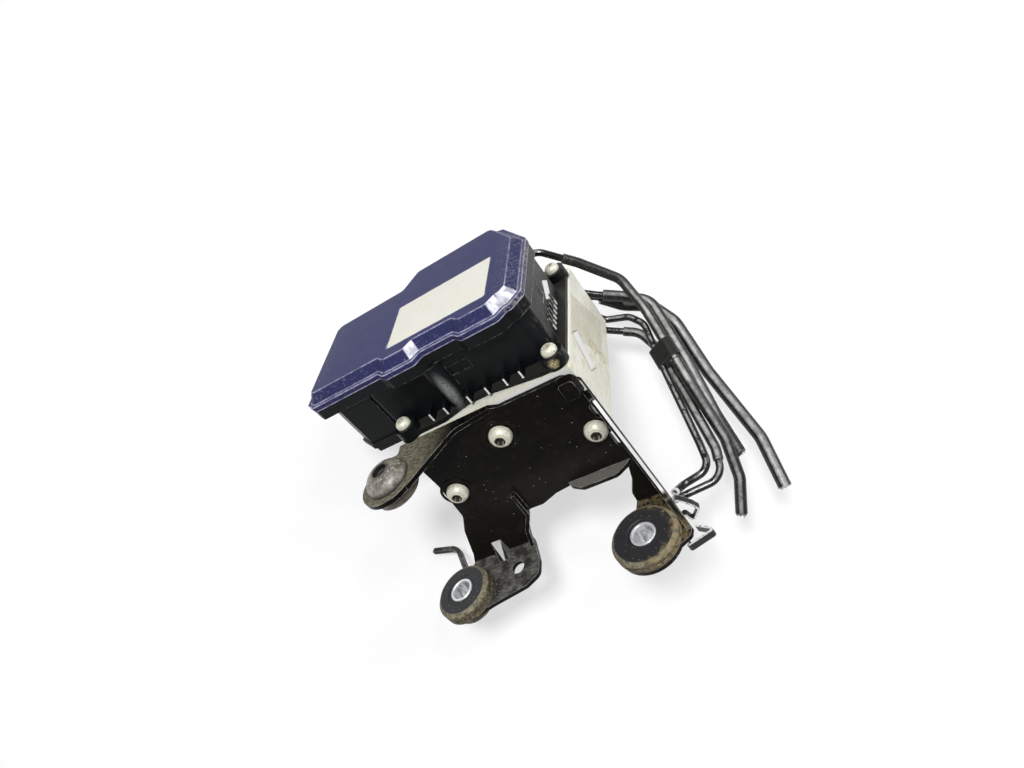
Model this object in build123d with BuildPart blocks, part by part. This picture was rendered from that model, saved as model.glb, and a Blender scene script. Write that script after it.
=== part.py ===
from build123d import *
import math
import os

os.makedirs("parts", exist_ok=True)

# Anti-lock brake module on its mounting bracket, all sizes in millimetres.
# +X runs along the valve block, +Y from the bracket plate into the block, and
# +Z out of the block through the control housing. The origin is the bolt point
# of the left lower isolator, on the upper face of its tab.

# ---------------------------------------------------------------- clearances
fit_gap = 0.05  # radial, between pieces that are pressed or screwed together
running_gap = 0.03  # radial, between the turning shaft and its bearings
rotor_gap = 0.8  # radial, between the armature and the magnets
brush_gap = 0.3  # between each brush, or pump piston, and what turns beside it

# ---------------------------------------------------------------- bracket sheet
sheet = 3.0  # thickness of the pressed steel
plate_front = 27.0  # Y of the plate's outer face
plate_back = plate_front + sheet
tab_top = 0.0  # Z of the upper face of both lower tabs
bend_inside = 1.6
bend_outside = sheet - 0.2
flange_lean = 22.0  # degrees that the right flange leans outward
flange_height = 10.0
flange_top = 91.0
lip_depth = 8.0
leg_rim_height = 4.0

# ---------------------------------------------------------------- valve block
block_left = 24.0
block_length = 112.0
block_depth = 101.0
block_bottom = 59.0
block_height = 48.0
foot_length = 18.0  # deeper left end, round the low bracket screw
foot_drop = 7.0
block_chamfer = 0.8
block_right = block_left + block_length
plate_right = block_right + 1.5  # X of the bend into the right flange
block_back = plate_back + block_depth
block_top = block_bottom + block_height
centre_x = block_left + block_length / 2
arm_top = block_top  # the arm's upper face is level with the block

# Bracket screws, as (X, Z) on the plate.
bracket_screw_places = [(centre_x, 87.0), (block_right - 8.5, 64.0), (block_left + 7.5, 61.5)]
bracket_screw_radius = 3.0
bracket_screw_depth = 14.0
bracket_head_radius = 6.8
bracket_head_height = 5.6
bracket_socket_radius = 2.4

# Housing screws, as (X, Y) on the block's top.
housing_screw_places = [
    (block_right - 6.5, 37.0),
    (block_left + 8.0, 35.0),
    (block_right - 6.5, 120.6),
    (block_left + 8.0, 120.0),
]
housing_screw_radius = 2.5
housing_screw_depth = 10.0
housing_head_radius = 4.5
housing_head_height = 4.0
housing_socket_radius = 1.7

# Pipe ports, as (X, Z) on the block's back face.
port_places = {
    "upper": (100.0, 96.0),
    "middle": (119.0, 85.0),
    "outer": (104.0, 81.0),
    "bare": (122.0, 69.0),
    "lower": (108.0, 67.0),
}
port_radius = 5.0
port_depth = 12.0
pipe_seat = 4.0  # how far each pipe's end stops short of the port's floor

# ---------------------------------------------------------------- valves and coils
valve_columns = 4
valve_rows = 3
valve_pitch_x = 24.0
valve_pitch_y = 21.0
valve_centre_y = 80.0
valve_body_radius = 5.9
valve_body_depth = 13.5
valve_dome_radius = 4.0
valve_dome_height = 19.0
coil_radius = 9.5
coil_height = 18.0
coil_lift = 2.5  # from the block's top to the coils

# ---------------------------------------------------------------- pumps and accumulators
motor_y = 83.0
motor_x = centre_x
pump_level = 72.0
pump_bore_radius = 7.0
pump_plug_length = 6.0
piston_radius = 4.0
pump_head_gap = 2.0  # between the piston's back and its plug
eccentric_throw = 1.2
eccentric_radius = 5.5
eccentric_length = 11.0
eccentric_bearing_radius = 8.0
shaft_bore_radius = 11.0
shaft_bore_depth = 25.0
accumulator_places = [(block_right - 11.0, 70.0), (block_right - 11.0, 96.0)]
accumulator_radius = 9.0
accumulator_depth = 22.0
accumulator_cap_height = 3.0

# ---------------------------------------------------------------- motor
can_radius = 30.0
can_wall = 1.8
can_length = 44.0
can_boss_radius = 9.6
can_boss_height = 5.5
can_flange_radius = 32.0
can_flange_thickness = 2.0
motor_ear_span = 2 * can_radius + 14.0
motor_ear_width = 9.0
motor_screw_reach = motor_ear_span / 2 - 3.4
motor_screw_radius = 2.0
motor_screw_depth = 9.0
motor_head_radius = 3.3
shaft_radius = 4.0
magnet_thickness = 4.6
magnet_length = 30.0
core_length = 20.0
core_slots = 10
slot_width = 4.0
slot_depth = 9.0
winding_overhang = 4.5
commutator_radius = 9.0
commutator_length = 7.0
bearing_width = 6.0
rear_bearing_width = 5.0
brush_width = 5.0
brush_height = 4.0
brush_length = 10.0
can_bottom = block_bottom - can_length

# ---------------------------------------------------------------- control housing
seal_thickness = 0.6
housing_bottom = block_top + seal_thickness
flange_thickness = 2.4
housing_wall = 2.5
rim_bottom = 139.0
rim_top = 146.0
rim_inset = 0.4
board_level = 142.5
board_thickness = 1.6
coil_shelf = 131.0
ear_radius = 7.0
ear_top = 115.5
ridge_radius = 7.0
ridge_x = 66.5
connector_left = -10.0
connector_right = 22.0
connector_near = 43.0
connector_far = 110.0
connector_bottom = 101.0
socket_depth = 30.0
pin_width = 1.0
pin_reach = 7.0  # how far the pin tips stay inside the mouth
pin_columns = 3
pin_rows = 10
pin_pitch_x = 6.5
pin_pitch_y = 4.2
blade_width = 6.0

# ---------------------------------------------------------------- lid
lid_rim_height = 3.5
lid_rise = 5.5
lid_shoulder = 4.5  # how far the shoulder slopes inward
lid_rim_step = 2.2
lid_wall = 2.2
lid_corner = 3.0
label_length = 67.0
label_width = 42.0
label_place = (80.5, 72.0)
label_depth = 0.3

# ---------------------------------------------------------------- isolators
# Each isolator is a centre (X, Y), clamped in its sheet by a groove.
left_lower = (0.0, 0.0)
right_lower = (plate_right - 13.5, -3.5)
left_upper = (20.5, 5.0)
groove_radius = 12.0
isolator_back_radius = 14.5
isolator_back_height = 4.5
sleeve_outer_radius = 7.75
sleeve_wall = 1.55
left_face_radius = 18.75
left_face_height = 9.6
right_face_radius = 20.6
right_face_height = 7.5
sleeve_stand_out = 0.4
upper_disc_radius = 14.0
upper_disc_height = 8.0
dome_radius = 13.5
dome_height = 8.0
dome_hole_radius = 4.6
upper_sleeve_radius = 6.0
upper_sleeve_wall = 1.6
upper_sleeve_length = 16.0

# ---------------------------------------------------------------- brake pipes
pipe_radius = 2.375
pipe_bore = 1.5
sleeve_radius = 3.9
thin_sleeve_radius = 3.5
nut_flats = 11.0
nut_length = 8.0
clip_length = 13.0
clip_wall = 1.4
strip_thickness = 1.3


def vertical_plane(x, y, z=0.0):
    """Plane through a vertical axis: local x is the radius, local y is up."""
    return Plane(origin=(x, y, z), x_dir=(1, 0, 0), z_dir=(0, -1, 0))


def vertical_axis(x, y):
    return Axis((x, y, 0), (0, 0, 1))


def turned_ring(x, y, inner, outer, bottom, height, edge=0.3):
    """A plain ring round a vertical axis, with its outer edges broken."""
    with BuildPart() as ring:
        with BuildSketch(vertical_plane(x, y)):
            with BuildLine():
                Polyline(
                    (inner, bottom),
                    (outer - edge, bottom),
                    (outer, bottom + edge),
                    (outer, bottom + height - edge),
                    (outer - edge, bottom + height),
                    (inner, bottom + height),
                    close=True,
                )
            make_face()
        revolve(axis=vertical_axis(x, y))
    return ring.part


def lobed_screw(seat, outward, head_radius, head_height, shank_radius, shank_length, socket_radius):
    """A button-head screw with a six-lobe socket, seated at `seat`."""
    seat = Vector(*seat)
    outward = Vector(*outward)
    along = Plane(origin=seat, x_dir=(1, 0, 0), z_dir=Vector(1, 0, 0).cross(outward))
    rim = head_height * 0.3
    flat = socket_radius * 1.5
    with BuildPart() as screw:
        with BuildSketch(along):
            with BuildLine():
                Polyline(
                    (0, head_height),
                    (0, -shank_length),
                    (shank_radius - 0.6, -shank_length),
                    (shank_radius, -shank_length + 0.6),
                    (shank_radius, 0),
                    (head_radius, 0),
                    (head_radius, rim),
                )
                ThreePointArc(
                    (head_radius, rim),
                    ((head_radius + flat) * 0.53, (head_height + rim) * 0.60),
                    (flat, head_height),
                )
                Line((flat, head_height), (0, head_height))
            make_face()
        revolve(axis=Axis(seat, outward))
        with BuildSketch(Plane(origin=seat + outward * head_height, z_dir=outward)):
            Circle(socket_radius)
            with PolarLocations(socket_radius, 6):
                Circle(socket_radius * 0.33)
        extrude(amount=-head_height * 0.6, mode=Mode.SUBTRACT)
    return screw.part


# ================================================================ valve block
valve_x = [centre_x + (i - (valve_columns - 1) / 2) * valve_pitch_x for i in range(valve_columns)]
valve_y = [valve_centre_y + (j - (valve_rows - 1) / 2) * valve_pitch_y for j in range(valve_rows)]
valve_places = [(x, y) for x in valve_x for y in valve_y]
shaft_bore_top = block_bottom + shaft_bore_depth
motor_screw_places = [(motor_x + side * motor_screw_reach, motor_y) for side in (-1, 1)]

with BuildPart() as valve_block:
    with BuildSketch(Plane.XZ.offset(-plate_back)):
        with BuildLine():
            Polyline(
                (block_left, block_top),
                (block_right, block_top),
                (block_right, block_bottom),
                (block_left + foot_length, block_bottom),
                (block_left + foot_length, block_bottom - foot_drop),
                (block_left, block_bottom - foot_drop),
                close=True,
            )
        make_face()
    extrude(amount=-block_depth)
    chamfer(valve_block.edges().filter_by(Axis.Y), length=block_chamfer)
    # Tapped holes for the bracket, behind the plate.
    with BuildSketch(Plane.XZ.offset(-plate_back)):
        with Locations(*bracket_screw_places):
            Circle(bracket_screw_radius + fit_gap)
    extrude(amount=-bracket_screw_depth - 1, mode=Mode.SUBTRACT)
    # Pipe ports on the back.
    with BuildSketch(Plane.XZ.offset(-block_back)):
        with Locations(*port_places.values()):
            Circle(port_radius)
    extrude(amount=port_depth, mode=Mode.SUBTRACT)
    # Valve bores and housing screw holes from above.
    with BuildSketch(Plane.XY.offset(block_top)):
        with Locations(*valve_places):
            Circle(valve_body_radius + fit_gap)
    extrude(amount=-valve_body_depth - 0.5, mode=Mode.SUBTRACT)
    with BuildSketch(Plane.XY.offset(block_top)):
        with Locations(*housing_screw_places):
            Circle(housing_screw_radius + fit_gap)
    extrude(amount=-housing_screw_depth - 1, mode=Mode.SUBTRACT)
    # Shaft bore, accumulator bores and motor screw holes from below.
    with BuildSketch(Plane.XY.offset(block_bottom)):
        with Locations((motor_x, motor_y)):
            Circle(shaft_bore_radius)
    extrude(amount=shaft_bore_depth, mode=Mode.SUBTRACT)
    with BuildSketch(Plane.XY.offset(block_bottom)):
        with Locations(*accumulator_places):
            Circle(accumulator_radius)
    extrude(amount=accumulator_depth, mode=Mode.SUBTRACT)
    with BuildSketch(Plane.XY.offset(block_bottom)):
        with Locations(*motor_screw_places):
            Circle(motor_screw_radius + fit_gap)
    extrude(amount=motor_screw_depth + 1, mode=Mode.SUBTRACT)
    # One pump bore right through, across the shaft bore.
    with BuildSketch(Plane.XZ.offset(-plate_back)):
        with Locations((motor_x, pump_level)):
            Circle(pump_bore_radius)
    extrude(amount=-block_depth, mode=Mode.SUBTRACT)
valve_block.part.label = "valve_block"
export_step(valve_block.part, "parts/valve_block.step")

# ================================================================ valves and coils
with BuildPart() as solenoid_valves:
    for x, y in valve_places:
        with BuildSketch(vertical_plane(x, y, block_top)):
            with BuildLine():
                Polyline(
                    (0, -valve_body_depth),
                    (valve_body_radius - 1, -valve_body_depth),
                    (valve_body_radius, -valve_body_depth + 1),
                    (valve_body_radius, 0),
                    (valve_dome_radius, 0),
                    (valve_dome_radius, valve_dome_height - 2),
                    (valve_dome_radius - 2, valve_dome_height),
                    (0, valve_dome_height),
                    close=True,
                )
            make_face()
        revolve(axis=vertical_axis(x, y))
solenoid_valves.part.label = "solenoid_valves"
export_step(solenoid_valves.part, "parts/solenoid_valves.step")

with BuildPart() as solenoid_coils:
    with BuildSketch(Plane.XY.offset(block_top + coil_lift)):
        with Locations(*valve_places):
            Circle(coil_radius)
            Circle(valve_dome_radius + fit_gap, mode=Mode.SUBTRACT)
    extrude(amount=coil_height)
solenoid_coils.part.label = "solenoid_coils"
export_step(solenoid_coils.part, "parts/solenoid_coils.step")

with BuildPart() as accumulator_caps:
    for x, y in accumulator_places:
        with BuildSketch(vertical_plane(x, y, block_bottom)):
            with BuildLine():
                Polyline(
                    (0, accumulator_cap_height / 2),
                    (accumulator_radius * 0.6, accumulator_cap_height / 2),
                    (accumulator_radius * 0.75, 0),
                    (accumulator_radius - fit_gap, 0),
                    (accumulator_radius - fit_gap, accumulator_cap_height),
                    (0, accumulator_cap_height),
                    close=True,
                )
            make_face()
        revolve(axis=vertical_axis(x, y))
accumulator_caps.part.label = "accumulator_caps"
export_step(accumulator_caps.part, "parts/accumulator_caps.step")

# ================================================================ pumps
# Two pistons face each other across the eccentric, each in a cylinder held by a plug.
piston_tip = eccentric_bearing_radius + eccentric_throw + brush_gap
pump_planes = {
    -1: (Plane.XZ.offset(-plate_back), motor_y - plate_back),
    1: (Plane(origin=(0, block_back, 0), x_dir=(-1, 0, 0), z_dir=(0, 1, 0)), block_back - motor_y),
}


def pump_discs(start, stop_short, outer, inner=0.0):
    """The same round piece on both sides, from `start` inside the face to near the shaft."""
    with BuildPart() as discs:
        for side, (face, reach) in pump_planes.items():
            with BuildSketch(face.offset(-start)):
                with Locations((-side * motor_x, pump_level)):
                    Circle(outer)
                    if inner:
                        Circle(inner, mode=Mode.SUBTRACT)
            extrude(amount=-(reach - start - stop_short))
    return discs.part


with BuildPart() as pump_plugs:
    for side, (face, reach) in pump_planes.items():
        with BuildSketch(face.offset(-0.5)):
            with Locations((-side * motor_x, pump_level)):
                Circle(pump_bore_radius - fit_gap)
        extrude(amount=-pump_plug_length)
pump_plugs.part.label = "pump_plugs"
export_step(pump_plugs.part, "parts/pump_plugs.step")

cylinder_start = pump_plug_length + 0.5
pump_cylinders = pump_discs(
    cylinder_start,
    shaft_bore_radius + 0.5,
    pump_bore_radius - fit_gap,
    piston_radius + running_gap,
)
pump_cylinders.label = "pump_cylinders"
export_step(pump_cylinders, "parts/pump_cylinders.step")

pump_pistons = pump_discs(cylinder_start + pump_head_gap, piston_tip, piston_radius)
pump_pistons.label = "pump_pistons"
export_step(pump_pistons, "parts/pump_pistons.step")

# ================================================================ motor
can_inner_radius = can_radius - can_wall
can_floor = can_bottom + can_wall
boss_bottom = can_bottom - can_boss_height
rear_pocket_radius = can_boss_radius - can_wall

with BuildPart() as motor_can:
    with BuildSketch(vertical_plane(motor_x, motor_y)):
        with BuildLine():
            Polyline(
                (0, boss_bottom),
                (can_boss_radius - 1, boss_bottom),
                (can_boss_radius, boss_bottom + 1),
                (can_boss_radius, can_bottom),
                (can_radius - 3, can_bottom),
                (can_radius, can_bottom + 3),
                (can_radius, block_bottom - can_flange_thickness),
                (can_flange_radius, block_bottom - can_flange_thickness),
                (can_flange_radius, block_bottom),
                (can_inner_radius, block_bottom),
                (can_inner_radius, can_floor + 2),
                (can_inner_radius - 2, can_floor),
                (rear_pocket_radius, can_floor),
                (rear_pocket_radius, boss_bottom + can_wall),
                (0, boss_bottom + can_wall),
                close=True,
            )
        make_face()
    revolve(axis=vertical_axis(motor_x, motor_y))
    with BuildSketch(Plane.XY.offset(block_bottom)):
        with Locations((motor_x, motor_y)):
            SlotOverall(motor_ear_span, motor_ear_width)
            Circle(can_radius - can_wall / 2, mode=Mode.SUBTRACT)
    extrude(amount=-can_flange_thickness)
    with BuildSketch(Plane.XY.offset(block_bottom)):
        with Locations(*motor_screw_places):
            Circle(motor_screw_radius + 0.2)
    extrude(amount=-can_flange_thickness, mode=Mode.SUBTRACT)
motor_can.part.label = "motor_can"
export_step(motor_can.part, "parts/motor_can.step")

with BuildPart() as motor_screws:
    for x, y in motor_screw_places:
        add(
            lobed_screw(
                (x, y, block_bottom - can_flange_thickness),
                (0, 0, -1),
                motor_head_radius,
                2.6,
                motor_screw_radius,
                motor_screw_depth + can_flange_thickness,
                1.3,
            )
        )
motor_screws.part.label = "motor_screws"
export_step(motor_screws.part, "parts/motor_screws.step")

magnet_outer = can_inner_radius - fit_gap
magnet_inner = magnet_outer - magnet_thickness
magnet_bottom = can_floor + 3
core_radius = magnet_inner - rotor_gap
core_bottom = magnet_bottom + (magnet_length - core_length) / 2
core_top = core_bottom + core_length
magnet_span = 140.0

with BuildPart() as motor_magnets:
    with BuildSketch(Plane.XY.offset(magnet_bottom)):
        with Locations((motor_x, motor_y)):
            Circle(magnet_outer)
            Circle(magnet_inner, mode=Mode.SUBTRACT)
            gap_half = math.radians(180 - magnet_span) / 2
            reach = magnet_outer * 1.5
            for side in (-1, 1):
                with BuildLine():
                    Polyline(
                        (motor_x, motor_y),
                        (motor_x + reach * math.sin(gap_half), motor_y + side * reach * math.cos(gap_half)),
                        (motor_x - reach * math.sin(gap_half), motor_y + side * reach * math.cos(gap_half)),
                        close=True,
                    )
                make_face(mode=Mode.SUBTRACT)
    extrude(amount=magnet_length)
motor_magnets.part.label = "motor_magnets"
export_step(motor_magnets.part, "parts/motor_magnets.step")

shaft_bottom = boss_bottom + can_wall + 0.5
eccentric_bottom = pump_level - eccentric_length / 2
eccentric_y = motor_y - eccentric_throw

with BuildPart() as motor_shaft:
    with BuildSketch(Plane.XY.offset(shaft_bottom)):
        with Locations((motor_x, motor_y)):
            Circle(shaft_radius)
    extrude(amount=shaft_bore_top - 3 - shaft_bottom)
    with BuildSketch(Plane.XY.offset(eccentric_bottom)):
        with Locations((motor_x, eccentric_y)):
            Circle(eccentric_radius)
    extrude(amount=eccentric_length)
motor_shaft.part.label = "motor_shaft"
export_step(motor_shaft.part, "parts/motor_shaft.step")

with BuildPart() as armature_core:
    with BuildSketch(Plane.XY.offset(core_bottom)):
        with Locations((motor_x, motor_y)):
            Circle(core_radius)
            Circle(shaft_radius + fit_gap, mode=Mode.SUBTRACT)
            with PolarLocations(core_radius - slot_depth / 2, core_slots):
                Rectangle(slot_depth + 0.4, slot_width, mode=Mode.SUBTRACT)
    extrude(amount=core_length)
armature_core.part.label = "armature_core"
export_step(armature_core.part, "parts/armature_core.step")

bundle_length = slot_depth - 1.5
with BuildPart() as armature_windings:
    for level in (core_bottom - winding_overhang, core_top):
        with BuildSketch(Plane.XY.offset(level)):
            with Locations((motor_x, motor_y)):
                Circle(core_radius - 1.0)
                Circle(shaft_radius + 2.0, mode=Mode.SUBTRACT)
        extrude(amount=winding_overhang)
    with BuildSketch(Plane.XY.offset(core_bottom)):
        with Locations((motor_x, motor_y)):
            with PolarLocations(core_radius - 1.0 - bundle_length / 2, core_slots):
                Rectangle(bundle_length, slot_width - 2 * fit_gap)
    extrude(amount=core_length)
armature_windings.part.label = "armature_windings"
export_step(armature_windings.part, "parts/armature_windings.step")

commutator_bottom = core_top + winding_overhang + 0.5
with BuildPart() as commutator:
    with BuildSketch(Plane.XY.offset(commutator_bottom)):
        with Locations((motor_x, motor_y)):
            Circle(commutator_radius)
            Circle(shaft_radius + fit_gap, mode=Mode.SUBTRACT)
            with PolarLocations(commutator_radius, core_slots):
                Rectangle(2.4, 0.6, mode=Mode.SUBTRACT)
    extrude(amount=commutator_length)
commutator.part.label = "commutator"
export_step(commutator.part, "parts/commutator.step")

front_bearing = turned_ring(
    motor_x,
    motor_y,
    shaft_radius + running_gap,
    shaft_bore_radius - fit_gap,
    block_bottom + 0.5,
    bearing_width,
)
front_bearing.label = "front_bearing"
export_step(front_bearing, "parts/front_bearing.step")

rear_bearing = turned_ring(
    motor_x,
    motor_y,
    shaft_radius + running_gap,
    rear_pocket_radius - fit_gap,
    shaft_bottom,
    rear_bearing_width,
)
rear_bearing.label = "rear_bearing"
export_step(rear_bearing, "parts/rear_bearing.step")

eccentric_bearing = turned_ring(
    motor_x,
    eccentric_y,
    eccentric_radius + fit_gap,
    eccentric_bearing_radius,
    eccentric_bottom + 0.5,
    eccentric_length - 1,
)
eccentric_bearing.label = "eccentric_bearing"
export_step(eccentric_bearing, "parts/eccentric_bearing.step")

brush_level = commutator_bottom + commutator_length / 2
holder_bottom = brush_level - brush_height / 2 - 1.2
holder_height = brush_height + 2.4
with BuildPart() as brush_holder:
    with BuildSketch(Plane.XY.offset(holder_bottom)):
        with Locations((motor_x, motor_y)):
            Circle(can_inner_radius - fit_gap)
            Circle(commutator_radius + 1.5, mode=Mode.SUBTRACT)
    extrude(amount=holder_height)
    with BuildSketch(Plane.XY.offset(brush_level - brush_height / 2)):
        with Locations((motor_x, motor_y)):
            Rectangle(2 * (commutator_radius + brush_gap + brush_length + 3), brush_width)
    extrude(amount=brush_height, mode=Mode.SUBTRACT)
brush_holder.part.label = "brush_holder"
export_step(brush_holder.part, "parts/brush_holder.step")

brush_reach = commutator_radius + brush_gap + brush_length / 2
with BuildPart() as motor_brushes:
    with BuildSketch(Plane.XY.offset(brush_level - brush_height / 2 + fit_gap)):
        with Locations((motor_x - brush_reach, motor_y), (motor_x + brush_reach, motor_y)):
            Rectangle(brush_length, brush_width - 2 * fit_gap)
    extrude(amount=brush_height - 2 * fit_gap)
motor_brushes.part.label = "motor_brushes"
export_step(motor_brushes.part, "parts/motor_brushes.step")

# ================================================================ control housing and lid
# Plan outline of the lid, corner by corner round the edge.
lid_left = -16.0
lid_right = block_right - 3.0
lid_near = 40.0
lid_far = 136.0
lid_step = 121.0
bulge_depth = 5.0
bulges = [(block_left + 20.0, block_left + 40.0), (block_right - 41.0, block_right - 18.0)]
bulge_ramp = 5.0

# Plan outline of the housing's walls, which stand inside the lid's edge.
wall_corners = [
    (connector_right, lid_near + 2),
    (lid_right - 9, lid_near + 2),
    (lid_right - 2.5, lid_near + 9),
    (lid_right - 2.5, lid_far - 33),
    (lid_right - 19, lid_far - 8),
    (centre_x - 33, lid_far - 8),
    (centre_x - 40, lid_far - 22),
    (connector_right, lid_far - 22),
]


def moved_inward(corners, inset):
    """Corners of an anticlockwise outline with every side moved inward by `inset`."""
    moved = []
    for i, (x, y) in enumerate(corners):
        before = Vector(x - corners[i - 1][0], y - corners[i - 1][1]).normalized()
        following = corners[(i + 1) % len(corners)]
        after = Vector(following[0] - x, following[1] - y).normalized()
        middle = Vector(-before.Y - after.Y, before.X + after.X)
        reach = 2 * inset / middle.length**2
        moved.append((x + middle.X * reach, y + middle.Y * reach))
    return moved


lid_corners = [(lid_left, lid_near + 6), (lid_left + 6, lid_near)]
for start, stop in bulges:
    lid_corners.append((start - bulge_ramp, lid_near))
    lid_corners.append((start, lid_near - bulge_depth))
    lid_corners.append((stop, lid_near - bulge_depth))
    lid_corners.append((stop + bulge_ramp, lid_near))
lid_corners.append((lid_right - 7, lid_near))
lid_corners.append((lid_right, lid_near + 8))
lid_corners.append((lid_right, lid_far - 32))
lid_corners.append((lid_right - 18, lid_far - 3))
lid_corners.append((lid_right - 24, lid_far))
lid_corners.append((centre_x - 30, lid_far))
lid_corners.append((centre_x - 39, lid_step))
lid_corners.append((lid_left + 7, lid_step))
lid_corners.append((lid_left, lid_step - 7))


def rounded_outline(corners, inset, radius):
    """A closed outline moved inward by `inset`, with its corners rounded."""
    with BuildSketch(mode=Mode.PRIVATE) as outline:
        with BuildLine():
            FilletPolyline(*moved_inward(corners, inset), radius=radius, close=True)
        make_face()
    return outline.sketch


def lid_outline(inset, corner=lid_corner):
    return rounded_outline(lid_corners, inset, corner)


def wall_outline(inset):
    return rounded_outline(wall_corners, inset, max(4.0 - inset, 1.0))


connector_width = connector_right - connector_left
connector_length = connector_far - connector_near
connector_x = (connector_left + connector_right) / 2
connector_y = (connector_near + connector_far) / 2
socket_floor = connector_bottom + socket_depth
pin_y = connector_y + 6.0
blade_y = connector_near + 9.0
blade_x = [connector_x - 6.5, connector_x + 6.5]


def pin_sketch(gap):
    """Cross-sections of all connector pins and blades, each grown by `gap`."""
    with BuildSketch(mode=Mode.PRIVATE) as pins:
        with Locations((connector_x, pin_y)):
            with GridLocations(pin_pitch_x, pin_pitch_y, pin_columns, pin_rows):
                Rectangle(pin_width + 2 * gap, pin_width + 2 * gap)
        with Locations(*[(x, blade_y) for x in blade_x]):
            Rectangle(blade_width + 2 * gap, pin_width + 2 * gap)
    return pins.sketch


rib_places = [block_left + reach for reach in (26.0, 36.0, 52.0, 64.0, 76.0, 86.0)]
end_rib_count = 6
end_rib_pitch = 5.0
wall_near = lid_near + 2
wall_right = lid_right - 2.5

# Plan outline of the base flange, whose near edge waves back to bare the block.
flange_near = plate_back + 1.5
flange_corners = [
    (block_left + 0.5, flange_near),
    (centre_x - 24, flange_near),
    (centre_x - 8, flange_near + 6),
    (centre_x + 6, flange_near + 6),
    (centre_x + 40, flange_near),
    (block_right - 0.5, flange_near - 0.5),
    (block_right - 0.5, block_back - 1),
    (block_left + 0.5, block_back - 1),
]

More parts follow.
